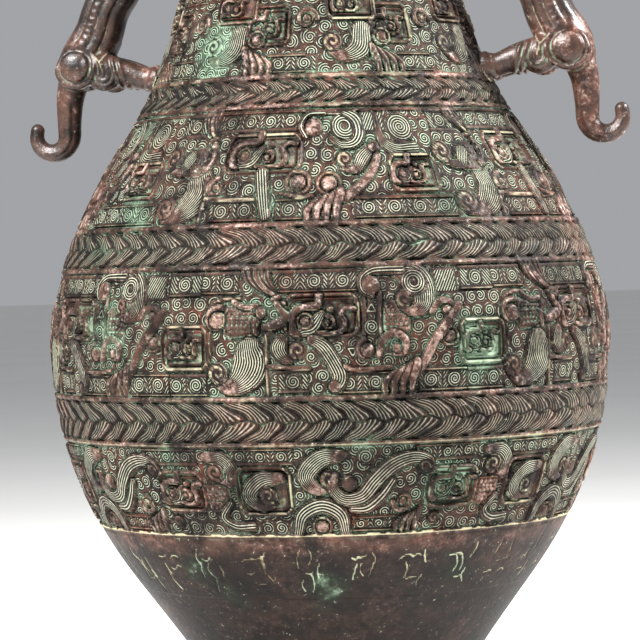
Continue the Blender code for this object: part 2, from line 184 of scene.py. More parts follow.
class Relief:
    """A height drawing of one group of a band, repeated round the vase."""

    def __init__(self, length, height, columns, rows, line_pitch):
        self.length = length
        self.height = height
        self.pitch = line_pitch
        around = np.arange(columns) * length / columns
        self.s, self.t = np.meshgrid(around, np.linspace(0.0, height, rows + 1))
        self.rise = self.full(GROUND)
        for name in ("phase", "amount", "pale", "seam", "spiral", "centre_s", "centre_t"):
            setattr(self, name, self.full(0.0))

    def full(self, value):
        """One value at every place of the drawing."""
        return np.full(self.s.shape, value)

    def away(self, s, t):
        """Distances along and across from a place, the short way round the repeat."""
        half = self.length / 2
        return (self.s - s + half) % self.length - half, self.t - t

    def lay(self, distance, rise, phase=None, edge=0.45, groove=0.45, clear=0.6, spiral=0.0,
            centre=(0.0, 0.0), strength=1.0):
        """Put a shape on top; distance is negative inside it, and spiral is the way its lines wind."""
        inside = np.clip(0.5 - distance / (2 * edge), 0.0, 1.0)
        inside = inside * inside * (3 - 2 * inside)
        rim = ridge(distance - 0.65, 0.5)
        self.rise = self.rise * (1 - inside) + rise * inside - groove * rim
        # Painted shade: a dark line is kept in the groove round each shape.
        self.seam = np.maximum(self.seam * (1 - inside), rim * min(1.0, groove * 2.2))
        growth = 0.64 * ridge(distance + 0.25, 0.5) if groove > 0.3 else 0.0
        self.pale = np.maximum(self.pale * (1 - inside), growth)
        self.amount = self.amount * (1 - ramp(clear - distance, 0.4))
        if phase is None:
            return
        self.amount = self.amount + ramp(-distance - 0.15, 0.3) * strength
        for name, value in zip(("phase", "spiral", "centre_s", "centre_t"), (phase, spiral, *centre)):
            setattr(self, name, np.where(distance < 0.3, value, getattr(self, name)))

    def ground(self, seed):
        """Ground between the figures: spirals round scattered centres, with a line of painted shade between
        them.
        """
        rng = np.random.default_rng(seed)
        nearest, second = self.full(FAR), self.full(FAR)
        across = max(1, round(self.height / SPIRAL_SPACING))
        along = max(1, round(self.length / SPIRAL_SPACING))
        for i in range(along):
            for k in range(across):
                s = (i + 0.5 * (k % 2) + rng.uniform(-0.22, 0.22)) * self.length / along
                t = (k + 0.5 + rng.uniform(-0.22, 0.22)) * self.height / across
                far = np.hypot(*self.away(s, t))
                closer = far < nearest
                second = np.where(closer, nearest, np.minimum(second, far))
                nearest = np.minimum(nearest, far)
                way = 1.0 if (i + k) % 2 else -1.0
                for name, value in (("centre_s", s), ("centre_t", t), ("spiral", way)):
                    setattr(self, name, np.where(closer, value, getattr(self, name)))
        self.amount = ramp(second - nearest - 0.7, 0.5)
        # Painted shade: a dark line where the spirals meet.
        self.seam = 0.5 * (1.0 - self.amount)

    def ribbon(self, points, rise=LIMB_TOP, stripes=0, steps=8, crown=0.12):
        """Band with its own width at each point; stripes are how many lines run along it."""
        best, side, wide = self.full(FAR), self.full(0.0), self.full(0.0)
        path = smooth_path(points, steps)
        for a, b in zip(path, path[1:]):
            share, distance, lateral, _ = beside(*self.away(a[0], a[1]), b[0] - a[0], b[1] - a[1])
            half = (a[2] + (b[2] - a[2]) * share) / 2
            closer = distance - half < best
            best = np.where(closer, distance - half, best)
            side = np.where(closer, lateral / np.maximum(half, 0.2), side)
            wide = np.where(closer, 2 * half, wide)
        side = np.clip(side, -1.0, 1.0)
        level = rise - crown + crown * np.sqrt(1 - side ** 2)
        if stripes:
            self.lay(best, level, (side + 1) * stripes / 2, strength=ramp(wide / stripes - 0.50, 0.35))
        else:
            self.lay(best, level)

    def bar(self, width, *points):
        """Plain raised line of one width."""
        self.ribbon([(*point, width) for point in points], FRAME_TOP)

    def boss(self, s, t, radius, rise=BOSS_TOP, ring=0.0):
        """Round boss, with a plain ring round it where ring is its width."""
        far = np.hypot(*self.away(s, t))
        if ring:
            self.lay(np.abs(far - radius - ring) - ring / 2, FRAME_TOP)
        self.lay(far - radius, rise - 0.9 * (1 - dome(far, radius)), edge=0.35)

    def rings(self, s, t, radius, rise=GROUND + 0.25, way=1.0):
        """Round field with one fine line that winds out from its centre."""
        far = np.hypot(*self.away(s, t))
        self.lay(far - radius, rise, 0.0, groove=0.1, clear=0.3, spiral=way, centre=(s, t))

    def curl(self, s, t, radius, start=0.0, way=1, rise=LIMB_TOP):
        """Round volute with a groove that winds in from its rim."""
        self.boss(s, t, radius, rise)
        groove = spiral_path(s, t, radius * 0.90, 1.15, start, way, 0.32 * radius, radius * 0.16)
        self.ribbon(groove, rise - 0.95, steps=2, crown=0.0)

    def scroll(self, s, t, radius, start=0.0, way=1, width=1.7, turns=1.2):
        """Ribbon that winds in to a small boss."""
        self.ribbon(spiral_path(s, t, radius, turns, start, way, width, radius * 0.3), steps=2)
        self.boss(s, t, max(0.8, radius * 0.32), LIMB_TOP + 0.1)

    def box(self, s0, t0, s1, t1, corner):
        """Distance from a rounded box, and distances along and across from its middle."""
        ds, dt = self.away((s0 + s1) / 2, (t0 + t1) / 2)
        qs = np.abs(ds) - abs(s1 - s0) / 2 + corner
        qt = np.abs(dt) - abs(t1 - t0) / 2 + corner
        distance = np.hypot(np.maximum(qs, 0), np.maximum(qt, 0)) + np.minimum(np.maximum(qs, qt), 0) - corner
        return distance, ds, dt

    def framed(self, s0, t0, s1, t1, corner, width=1.3):
        """Sunk panel with a raised double border."""
        distance = self.box(s0, t0, s1, t1, corner)[0]
        self.lay(distance, RECESS, groove=0.3)
        below = np.clip((t0 + 0.45 * (t1 - t0) - self.t) / 6.0 + 0.5, 0.0, 1.0)
        self.pale = np.maximum(self.pale, (0.40 + 0.16 * below) * ramp(-width - distance, 1.2))
        self.lay(np.abs(distance + width / 2) - width / 2, FRAME_TOP + 0.1, groove=0.35)
        self.lay(np.abs(distance + width + 1.5) - 0.35, FRAME_TOP - 0.35, groove=0.2, edge=0.3)

    def panel(self, s0, t0, s1, t1, slope):
        """Panel filled with slanted lines."""
        distance, ds, dt = self.box(s0, t0, s1, t1, 0.8)
        phase = (ds * math.sin(slope) + dt * math.cos(slope)) / self.pitch
        self.lay(distance, FIELD, phase, groove=0.2)

    def chevrons(self, s0, t0, s1, t1, way):
        """Panel filled with lines that meet in the middle, like triangles inside each other."""
        distance, ds, dt = self.box(s0, t0, s1, t1, 0.3)
        phase = (np.abs(ds) * 0.80 + way * dt * 0.60) / self.pitch
        self.lay(distance, FIELD, phase, groove=0.1, clear=0.3)

    def nested(self, s, t, size, turn):
        """Triangle of lines inside each other."""
        ds, dt = self.away(s, t)
        turns = [turn + TURN * k / 3 for k in range(3)]
        far = np.max([ds * math.cos(a) + dt * math.sin(a) for a in turns], axis=0)
        self.lay(far - size, FIELD, far / self.pitch, groove=0.1, clear=0.3)

    def pebbles(self, s0, t0, s1, t1):
        """Field of small round grains, like feathers or scales."""
        distance = self.box(s0, t0, s1, t1, 3.0)[0]
        self.lay(distance, GROUND)
        spacing = GRAIN_PITCH * 0.87
        row = np.round(self.t / spacing)
        s = self.s + (row % 2) * GRAIN_PITCH / 2
        ds = s - np.round(s / GRAIN_PITCH) * GRAIN_PITCH
        grain = dome(np.hypot(ds, self.t - row * spacing), GRAIN_PITCH / 2)
        self.rise = self.rise + ramp(-distance, 0.8) * (LIMB_TOP - GROUND) * grain

    def strip(self, s0, s1, t0, t1, seed=0):
        """Narrow strip of spirals and triangles of lines between two raised lines."""
        count = max(1, round((s1 - s0) / (1.3 * (t1 - t0))))
        cell = (s1 - s0) / count
        for i in range(count):
            s = s0 + (i + 0.5) * cell
            way = 1.0 if (i + seed) % 2 else -1.0
            self.chevrons(s - cell / 2, t0, s, t1, way)
            self.chevrons(s, t0, s + cell / 2, t1, -way)
        for i in range(count):
            self.rings(s0 + (i + 0.5) * cell, (t0 + t1) / 2, (t1 - t0) * 0.42, way=1.0 if i % 2 else -1.0)
        for level in (t0, t1):
            self.ribbon([(s0, level, 0.7), (s1, level, 0.7)], FRAME_TOP, steps=1)

    def fan(self, s_top, s_end, t_top, t_end, width):
        """Five separate ribs that draw in to a knuckled stem."""
        lean, drop = s_end - s_top, t_top - t_end
        for k in (-2, 2, -1, 1, 0):
            near, far = k * width * 0.20, k * width * 0.06
            self.ribbon([(s_top + near * 1.1, t_top + 1.5, width * 0.185),
                         (s_top + lean * 0.12 + near * 0.9, t_top - drop * 0.35, width * 0.16),
                         (s_top + lean * 0.55 + near * 0.6, t_top - drop * 0.75, width * 0.12),
                         (s_end + far, t_end, width * 0.09)], FAN_TOP - 0.06 * abs(k), crown=0.4)
        along, down = lean * 0.10, drop * 0.12
        for k in range(2):
            s = s_end + along * (0.6 + 2.2 * k)
            t = t_end - down * (0.9 + 1.9 * k)
            knuckle = [(s - down, t - along * 0.6, 1.9), (s + down, t + along * 0.6, 1.9)]
            self.ribbon(knuckle, FAN_TOP, steps=2)

    def comma(self, s, t, curl, body, stripes):
        """Striated volute: a curl that opens into a broad body of lines."""
        self.ribbon(body, stripes=round(stripes * 1.35), steps=10, crown=0.5)
        self.curl(s, t, curl + 1.2, math.atan2(body[0][1] - t, body[0][0] - s), -1, BOSS_TOP)

    def claws(self, s, t, lean, size):
        """Four long fingers that arch from a wrist and grip the line below."""
        for i in range(4):
            foot = s + (i - 1.5) * 3.9 * size * -lean
            wrist = s - lean * (6.0 + 1.6 * (i - 1.5)) * size
            self.ribbon([(foot, t, 2.0 * size), (foot - lean * 0.2 * size, t + 4.6 * size, 2.7 * size),
                         ((foot + wrist) / 2 - lean * 0.8 * size, t + (8.6 + 0.8 * i) * size, 2.8 * size),
                         (wrist, t + (10.0 + 1.2 * i) * size, 2.4 * size)], LIMB_TOP + 0.1, crown=0.6)

    def face(self, s, t, size, stretch=1.0):
        """Animal head in a frame: eye, brow, scrolled snout and teeth."""
        def at(x, y, *width):
            x = x * size * (stretch if x > 0 else 1.0)
            return (s + x, t + y * size, *(w * size for w in width))

        self.ribbon([at(-2.0, -4.4, 5.0), at(2.0, -3.0, 6.5), at(5.0, 2.2, 4.0)], LIMB_TOP - 0.55, 5)
        self.ribbon([at(*point) for point in BROW], LIMB_TOP + 0.1)
        self.boss(*at(-1.0, -0.2), 1.9 * size, BOSS_TOP, ring=1.2 * size)
        self.ribbon([at(*point) for point in SNOUT])
        self.scroll(*at(7.4, -1.4), 3.1 * size, math.pi / 2, -1, 1.9 * size, 1.1)
        self.boss(*at(8.4, 4.9), 1.4 * size, LIMB_TOP)

    def line(self, level, width=2.0, top=LINE_TOP, crust=0.50):
        """Raised line round the whole band, a little uneven, with growth on it."""
        turn = TURN * self.s / self.length
        uneven = 0.12 * np.sin(5 * turn + level) + 0.10 * np.sin(13 * turn) + 0.07 * np.sin(29 * turn)
        distance = np.abs(self.t - level + uneven * (crust > 0.6)) - width / 2 + uneven
        self.lay(distance, top, edge=0.5, groove=0.3, clear=0.5)
        self.pale = np.maximum(self.pale, crust * ramp(0.3 - distance, 0.6))


# Animal head's brow and snout: places from its middle, and widths
BROW = ((-4.4, -6.0, 2.0), (-6.4, -4.6, 3.0), (-6.6, 0.5, 3.0), (-5.0, 4.6, 3.1), (0.0, 6.0, 3.1),
        (3.6, 6.4, 3.2), (4.4, 10.6, 3.2))
SNOUT = ((4.0, -5.6, 1.8), (8.5, -6.0, 1.9), (12.4, -4.8, 2.0), (13.4, -1.0, 2.3), (12.2, 2.4, 2.3),
         (14.0, 5.2, 2.0), (17.0, 4.8, 1.8))


def belly_band(relief):
    """Widest band: framed heads, S volutes, striated commas, fans and clawed limbs."""
    relief.ground(3)
    relief.strip(-79, -58, 2.2, 11, 1)
    relief.strip(-24, -10, 3.2, 12)
    relief.strip(2, 26, 2.2, 10.6, 1)
    relief.strip(40, 63, 2.2, 11.4)
    relief.strip(-76, -42, 47.6, 56.4)
    relief.strip(-26, 13, 47.6, 56.4, 1)
    relief.panel(49.5, 45.5, 61, 56, math.radians(-60))
    relief.strip(63, 80, 47, 56.4)
    relief.bar(1.5, (-57, 14.2), (-55, 25), (-56, 40), (-50, 44.6), (-41, 44.8))
    relief.framed(-81, 13.2, -56.5, 33.5, 4.5)
    relief.face(-73, 23.4, 0.72)
    relief.boss(-86, 26, 2.6, ring=1.3)
    relief.pebbles(-48.5, 28, -32, 42)
    relief.scroll(-51.5, 35.6, 6, math.pi * 0.4, 1, 2.4, 1.1)
    relief.boss(-51.5, 35.6, 3.6)
    relief.ribbon([(-44, 43.5, 2.2), (-38, 41, 2.2), (-33.5, 41.5, 2.6), (-30.5, 38, 3), (-33.5, 34.5, 2.6),
                   (-33, 29.5, 2.4)])
    relief.boss(-30.8, 38.6, 2.3)
    relief.boss(-36, 27, 2)
    relief.comma(-51.9, 11.9, 3.6, [(-52.5, 7, 3), (-46.5, 5.5, 7), (-39.5, 9.5, 13), (-36, 15.5, 17),
                                    (-36.5, 21, 13)], 10)
    relief.ribbon([(-28.6, 2, 1.4), (-28.4, 14, 1.4), (-28.6, 27.5, 1.6), (-26.5, 30, 1.6)], FRAME_TOP)
    relief.bar(1.5, (-27.5, 14.5), (-18, 13.6), (-9.5, 13.4))
    relief.comma(-14.5, 21.5, 2.7, [(-16, 18, 2.4), (-20.5, 18.4, 5), (-23, 22.5, 7), (-21.5, 26.4, 5)], 5)
    relief.framed(-20.5, 26.8, 13.6, 46.6, 5.5)
    relief.face(-10, 34.6, 1, 1.25)
    relief.fan(-34.3, -24.8, 58, 46, 14.2)
    relief.ribbon([(-24, 42.5, 2.4), (-21.5, 39, 2.6), (-19.5, 36.5, 3.4), (-23.5, 33.5, 4.6),
                   (-29, 32, 3.2)])
    relief.ribbon([(-8, 26, 4), (-3, 22.5, 6.5), (1.2, 16, 6.5), (4, 9.5, 7), (2, 4.5, 6)], stripes=6)
    relief.rings(-8.6, 18.4, 2.8)
    relief.nested(10, 20.5, 2.6, math.pi / 2)
    relief.boss(1.5, 5, 2.4)
    relief.bar(1.8, (6.5, 14), (9.5, 12.4), (18, 12.2), (27, 13.2))
    relief.bar(1.4, (16.4, 52), (15.8, 44), (15.6, 34), (15, 26))
    relief.rings(18.8, 31, 3.8)
    relief.nested(19, 39, 2, -math.pi / 2)
    relief.bar(1.4, (23.2, 46.5), (23, 36), (22.6, 27))
    relief.scroll(16.6, 21, 4.6, math.pi * 0.6, 1, 2.2, 1.1)
    relief.boss(16.6, 21, 2.9)
    relief.pebbles(24.5, 27.5, 36.5, 42.5)
    relief.ribbon([(21.5, 18.5, 2.6), (24, 25.5, 3), (29, 28, 3), (34, 25, 3), (33.4, 19.6, 2.6),
                   (29, 19, 2.2)])
    relief.boss(30, 21.5, 1.9)
    relief.comma(34.3, 43.2, 2.5, [(33, 39.6, 2.4), (38, 37.4, 4.4), (43, 40.5, 9), (43.5, 47.5, 12),
                                   (40, 53, 12.5), (31.5, 55.6, 6), (24.5, 56.6, 3)], 8)
    relief.rings(39.4, 50.4, 6, LIMB_TOP - 0.2)
    relief.boss(39.4, 50.8, 1, LIMB_TOP)
    relief.ribbon([(33.5, 56.6, 4.6), (26.5, 56.6, 4.2), (20, 56, 3.8), (15.4, 52.6, 3.6),
                   (15.6, 47.6, 3.4), (19.4, 45.2, 3)], stripes=3)
    relief.boss(19.4, 49.6, 4)
    relief.ribbon([(47, 37, 2.6), (51, 41.5, 2.8), (56.5, 41, 2.8), (58, 36.5, 2.8)])
    relief.boss(54.4, 37.6, 2)
    relief.ribbon([(61, 40, 3), (55.5, 33, 4.2), (48, 24.5, 4), (43.5, 16.5, 4.2), (37.5, 9.5, 4.6)],
                  LIMB_TOP + 0.1, crown=0.4)
    relief.claws(30.5, 1.6, -1, 1.05)
    relief.line(0)
    relief.line(relief.height)


def shoulder_band(relief):
    """Band above the belly: the same beasts, closer set, under a double line."""
    relief.ground(11)
    relief.strip(-50, -29, 2.4, 10.8, 1)
    relief.strip(-21, -10, 2.4, 10.8)
    relief.strip(12, 56, 2.4, 11)
    relief.strip(-55, -12, 43.4, 51.4, 1)
    relief.strip(56, 71, 42, 51)
    relief.comma(-73, 9, 3.6, [(-74, 4.4, 3), (-68, 4, 6), (-61.5, 8.5, 12), (-57, 15.5, 15),
                               (-58.5, 22, 12)], 10)
    relief.pebbles(-70, 23, -57, 36)
    relief.bar(1.4, (-54.5, 2), (-53.6, 12), (-54, 22))
    relief.fan(-62.5, -57, 53, 41, 10.5)
    relief.ribbon([(-55.5, 37.5, 2.6), (-54, 31, 3), (-57, 26.5, 3.4)])
    relief.framed(-48, 23.2, -10.5, 41.8, 5.5)
    relief.face(-37.5, 32, 0.95, 1.5)
    relief.scroll(-49, 17.5, 4.4, math.pi * 0.5, 1, 2.2, 1.1)
    relief.bar(1.5, (-53, 12.6), (-40, 11.8), (-30.5, 12))
    relief.ribbon([(-28.5, 23, 6), (-27, 14, 5.6), (-25.2, 4, 4.4)], LIMB_TOP - 0.2, 5)
    relief.boss(-12, 18.6, 3.4, ring=1.6)
    relief.boss(1.5, 17.8, 3.4, ring=1.4)
    relief.bar(1.5, (-19, 14), (-12, 12), (-6, 12.4))
    relief.rings(10.2, 44.2, 6.6, LIMB_TOP - 0.2)
    relief.ribbon([(3.6, 38.5, 2.6), (8.5, 35.4, 3.6), (14.5, 36.5, 5), (17.5, 41.5, 6), (16.2, 47.5, 6),
                   (9.5, 51, 3), (0, 50.8, 2.6)], stripes=4)
    relief.boss(10.2, 44.2, 1.1, LIMB_TOP)
    relief.ribbon([(0, 50.6, 2.4), (-8, 50, 2.4), (-11.6, 45, 2.6), (-9, 39.8, 2.8)], stripes=2)
    relief.boss(-5.2, 44.2, 4.3)
    relief.panel(19.5, 41.5, 31, 51, math.radians(-58))
    relief.comma(9, 29, 2.4, [(7.5, 25, 2.4), (13.5, 24.4, 4.6), (17, 29.5, 6.5), (21.5, 33.8, 4.2)], 5)
    relief.boss(23.5, 34.4, 2.6)
    relief.ribbon([(24.5, 30, 3.2), (21.5, 24, 3.6), (15, 16.5, 3.8), (8, 11.5, 4.4)], LIMB_TOP + 0.1,
                  crown=0.4)
    relief.claws(-2, 1.8, -1, 1)
    relief.ribbon([(27, 50, 1.2), (28, 38, 4), (34, 33, 6), (43, 33, 7)], GROUND + 0.35, 6)
    relief.rings(39, 43.5, 6.8)
    relief.framed(29, 13.4, 52.5, 31, 4.5)
    relief.face(35.4, 22, 0.74)
    relief.comma(57.5, 32, 3.8, [(58.5, 26.6, 3), (65, 25.8, 5), (68.5, 31.5, 7)], 5)
    relief.line(0)
    relief.line(relief.height)
    relief.line(relief.height - 2.8, 1, FRAME_TOP)


def lower_band(relief):
    """Band under the belly: wings, S volutes and striated ribbons, closed by the bright line."""
    relief.ground(23)
    relief.strip(-46, -18, 33.6, 40.2, 1)
    relief.strip(36, 66, 33.6, 40.2)
    relief.strip(8, 34, 2.2, 8.4, 1)
    relief.comma(-54, 30, 3, [(-53, 25.5, 2.8), (-47.5, 25, 5), (-46, 30, 6), (-50, 35.6, 7), (-58, 37, 4)],
                 6)
    relief.pebbles(-62, 12, -49, 24)
    relief.ribbon([(-49, 15.5, 2.6), (-54, 9, 3.6), (-48.5, 4.8, 4), (-40, 5, 3.8)], stripes=3)
    relief.framed(-45, 10, -19, 32.4, 5)
    relief.comma(-30.5, 19, 2.8, [(-28, 15.2, 2.4), (-34, 14.2, 5), (-39, 19.5, 7.5), (-33, 26, 8),
                                  (-24.5, 27.4, 4.6)], 6)
    relief.ribbon([(-18, 1.5, 4.6), (-15, 10, 6.4), (-6, 14.2, 6.8), (2.5, 10, 6.4), (5, 1.5, 4.6)],
                  stripes=5)
    relief.boss(-6.2, 4.4, 2.8, ring=1.3)
    relief.comma(-2.5, 26.5, 2.8, [(-1.5, 22.2, 2.6), (-8, 21.6, 5), (-12.5, 28, 8), (-6, 35.4, 8.5),
                                   (3.5, 37, 4.6)], 7)
    relief.rings(-15.5, 19, 2.8)
    relief.ribbon([(0.6, 28, 3), (-0.6, 22, 4.4), (4.5, 17, 5.6), (12.5, 18, 7), (18.5, 25, 7.6),
                   (26, 32, 7.4), (34.5, 35, 6.4), (41.5, 33.6, 4.6), (44, 29.4, 3.4)], stripes=6)
    relief.boss(6.6, 24.2, 3.4)
    relief.curl(40.6, 30.4, 2.8)
    relief.ribbon([(8, 12, 3), (15, 12.5, 4.4), (21.5, 18, 4.6), (26, 24.5, 3.4)], LIMB_TOP - 0.1, 3)
    relief.scroll(31.5, 15, 4.8, math.pi, 1, 2.3, 1.2)
    relief.rings(14, 36, 3.6)
    relief.framed(43, 11.4, 68, 30.4, 5)
    relief.face(50.5, 20.4, 0.85, 1.1)
    relief.claws(34, 1.4, -1, 0.8)
    relief.curl(48, 6.5, 3)
    relief.line(0, 1.5, LINE_TOP + 0.1, 0.80)
    relief.line(relief.height, 1.9, crust=0.66)


def neck_band(relief):
    """Band round the foot of the neck, rubbed smoother than the others."""
    relief.ground(31)
    relief.framed(-36, 15, -14, 34, 4)
    relief.face(-29.5, 23.6, 0.7)
    relief.scroll(-6.5, 27, 5, 0, 1, 2.3, 1.3)
    relief.comma(5, 16, 3, [(4, 11.5, 2.6), (10, 9, 6), (17, 13, 10), (18.5, 21, 9)], 7)
    relief.framed(3, 26, 27, 43, 4)
    relief.face(10, 34, 0.6)
    relief.strip(-36, -2, 2.2, 10)
    relief.strip(-34, 2, 37.6, 45.4, 1)
    relief.boss(28, 18, 2.4, ring=1.2)
    relief.claws(30, 1.8, 1, 0.9)
    relief.line(0, 2.6)
    relief.line(relief.height, 2.6)


def plait(relief):
    """Two rows of rounded lobes that overlap like a plait, each crossed by fine lines along its front."""
    pitch = relief.length / PLAIT_LOBES
    half = relief.height / 2
    turn = TURN * relief.s / relief.length
    place = relief.s + 0.16 * pitch * np.sin(turn) + 0.07 * pitch * np.sin(3 * turn)
    border = half + 1.0 * np.cos(TURN * (place / pitch - 0.65))
    lower = relief.t < border
    inward = np.where(lower, relief.t / border, (relief.height - relief.t) / (relief.height - border))
    front = pitch * (0.95 * (1.0 - (1.0 - inward) ** 2) + 0.15 * inward)
    run = (place + np.where(lower, 0.0, 0.42 * pitch) - front) / pitch % 1.0
    lean = pitch * (1.9 * (1.0 - inward) + 0.15) / half
    edge = np.minimum(run, 1.0 - run) * pitch / np.hypot(1.0, lean)
    seam = np.minimum(edge, np.abs(relief.t - border) * 1.2)
    outer = np.where(lower, relief.t, relief.height - relief.t) - 1.0
    waves = 1.0 - np.abs(np.sin(math.pi * (place / pitch + np.where(lower, -0.21, 0.21))))
    notch = ramp(1.9 * waves - outer, 0.6)
    round_row = 0.55 * np.sin(math.pi * np.clip(inward, 0.0, 1.0) ** 0.8)
    lobe = 0.75 * run ** 1.5
    relief.rise = np.minimum(GROUND + 0.15 + round_row + lobe - 0.8 * ridge(seam, 0.7), BOSS_TOP)
    relief.rise = relief.rise * (1 - notch) + RECESS * notch
    # Painted shade: dark lines between the lobes and in the notches of their edges.
    relief.seam = np.maximum(0.95 * ridge(seam, 0.75), notch)
    relief.phase = run * PLAIT_LINES
    relief.amount = 0.78 * ramp(seam - 0.45, 0.4) * np.clip(3.0 - lean, 0.4, 1.0) * (1 - notch)
    for level in (0.0, relief.height):
        relief.line(level)


def strokes(relief):
    """Rows of shallow cut strokes in the inscription's place; they form no letters."""
    relief.rise[:] = 0.0
    rng = np.random.default_rng(7)
    centre = INSCRIPTION_TOP - STROKES_BELOW_LINE - PLAIN_TOP
    nearest = relief.full(FAR)
    for k in range(STROKE_GROUPS):
        s = (k + 0.5) * relief.length / STROKE_GROUPS
        for place in rng.choice(9, 6, replace=False):
            x = s + (place % 3 - 1) * STROKE_COLUMN + rng.uniform(-0.8, 0.8)
            y = centre + (place // 3 - 1) * STROKE_ROW + rng.uniform(-1.0, 1.0)
            upright = rng.uniform() < 0.55
            length = rng.uniform(5.0, 9.5) if upright else rng.uniform(3.0, 6.0)
            bend = rng.uniform(-1.6, 1.6)
            run_s, run_t = (rng.uniform(-0.3, 0.3) * length, length) if upright else (length, 0.15 * length)
            middle = (x + bend * upright, y + bend * (not upright))
            ends = [(x + way * run_s / 2, y + way * run_t / 2) for way in (-1, 1)]
            path = smooth_path([ends[0], middle, ends[1]], 4)
            for a, b in zip(path, path[1:]):
                nearest = np.minimum(nearest, beside(*relief.away(*a), *(b - a))[1])
    relief.rise = -0.28 * ridge(nearest, 0.8)
    relief.pale = np.clip(1.05 - nearest / 1.05, 0.0, 0.74)
    relief.line(relief.height, 1.5, LINE_TOP + 0.1, 0.80)


def plain_neck(relief):
    """Plain upper neck with one fine line under the lip."""
    relief.rise[:] = 0.0
    relief.line(0.0, 2.6)
    relief.line(relief.height * 0.52, 1.6)


# Zones of the vessel: name, bottom, top, columns, rows, groups round the vase, drawing
ZONES = (
    ("lower_band", INSCRIPTION_TOP, BAND_4_TOP, 1044, 57, 6, lower_band),
    ("belly_band", ROPE_3_TOP, BAND_3_TOP, 1140, 78, 6, belly_band),
    ("shoulder_band", ROPE_2_TOP, BAND_2_TOP, 900, 71, 5, shoulder_band),
    ("neck_band", ROPE_1_TOP, NECK_BAND_TOP, 640, 64, 8, neck_band),
    ("belly_plait_low", BAND_4_TOP, ROPE_3_TOP, 1120, 32, 10, plait),
    ("belly_plait_high", BAND_3_TOP, ROPE_2_TOP, 1071, 28, 9, plait),
    ("neck_plait", BAND_2_TOP, ROPE_1_TOP, 784, 21, 7, plait),
    ("inscription_wall", PLAIN_TOP, INSCRIPTION_TOP, 810, 36, 1, strokes),
    ("upper_neck", NECK_BAND_TOP, LIP_BOTTOM, 256, 30, 1, plain_neck),
)


# Meshes of the vessel

# Numbers stored at each point for the bronze
VALUES = ("rise", "hollow", "phase", "amount", "pale", "seam", "spiral")

# One spun sector has fewer columns than MOST_SPUN, and the sharp angles are in degrees
MOST_SPUN = 67
JOIN_DISTANCE = 0.00001
PLAIN_COLUMNS = 256
SOLDER_GAP = 0.35
ZONE_SHARP = 80
PLAIN_SHARP = 50
TO_METRES = Matrix.Diagonal((MM, MM, MM, 1.0))


def inner_rows(z0, z1):
    """Points of the inside wall between two heights, as radius and height."""
    return [(float(wall_radius(z)) - WALL, z) for z in np.linspace(z0, z1, 4)]


def linked(name, data):
    """New object in the scene."""
    item = bpy.data.objects.new(name, data)
    bpy.context.scene.collection.objects.link(item)
    return item


def shaped(name, bm):
    """New object from a finished bmesh, which isn't kept."""
    mesh = bpy.data.meshes.new(name)
    bm.to_mesh(mesh)
    bm.free()
    return linked(name, mesh)


def spun(name, outline, columns, closed=True):
    """Closed body turned from an outline of radius and height: one sector spun, then repeated and joined."""
    sector_columns = max(n for n in range(1, MOST_SPUN) if columns % n == 0)
    sector = TURN * sector_columns / columns
    axis = {"cent": (0, 0, 0), "axis": (0, 0, 1)}
    bm = bmesh.new()
    verts = [bm.verts.new((r * MM, 0.0, z * MM)) for r, z in outline]
    edges = [bm.edges.new((verts[i - 1], verts[i])) for i in range(0 if closed else 1, len(verts))]
    bmesh.ops.spin(bm, geom=verts + edges, angle=sector, steps=sector_columns, **axis)
    first = bm.verts[:] + bm.edges[:] + bm.faces[:]
    for k in range(1, columns // sector_columns):
        copy = bmesh.ops.duplicate(bm, geom=first)["geom"]
        bmesh.ops.rotate(bm, verts=[part for part in copy if isinstance(part, bmesh.types.BMVert)],
                         cent=(0, 0, 0), matrix=Matrix.Rotation(k * sector, 3, "Z"))
    bmesh.ops.remove_doubles(bm, verts=bm.verts, dist=JOIN_DISTANCE)
    bmesh.ops.recalc_face_normals(bm, faces=bm.faces)
    return shaped(name, bm)


def vertex_rows(mesh, key="co"):
    """Places or normals of a mesh's points as an array."""
    rows = np.empty(len(mesh.vertices) * 3)
    mesh.vertices.foreach_get(key, rows)
    return rows.reshape(-1, 3)


def set_places(mesh, points):
    mesh.vertices.foreach_set("co", points.ravel())
    mesh.update()


def write_values(mesh, **given):
    """Store the numbers that the bronze reads at each point; those not given are 0."""
    for name in VALUES:
        values = given.get(name, np.zeros(len(mesh.vertices)))
        layer = mesh.attributes.new(name, "FLOAT", "POINT")
        layer.data.foreach_set("value", np.ascontiguousarray(values, np.float32))


def smooth_shaded(mesh, sharp):
    mesh.shade_smooth()
    mesh.set_sharp_from_angle(angle=math.radians(sharp))


def blurred(values, reach):
    """Average of a drawing over a square, going round its repeat but not past its ends."""
    wide = np.concatenate((values[:, -reach:], values, values[:, :reach]), axis=1)
    wide = np.pad(wide, ((reach, reach), (0, 0)), mode="edge")
    total = np.cumsum(np.cumsum(np.pad(wide, ((1, 0), (1, 0))), axis=0), axis=1)
    size = 2 * reach + 1
    rows = total[size:] - total[:-size]
    return (rows[:, size:] - rows[:, :-size]) / size ** 2


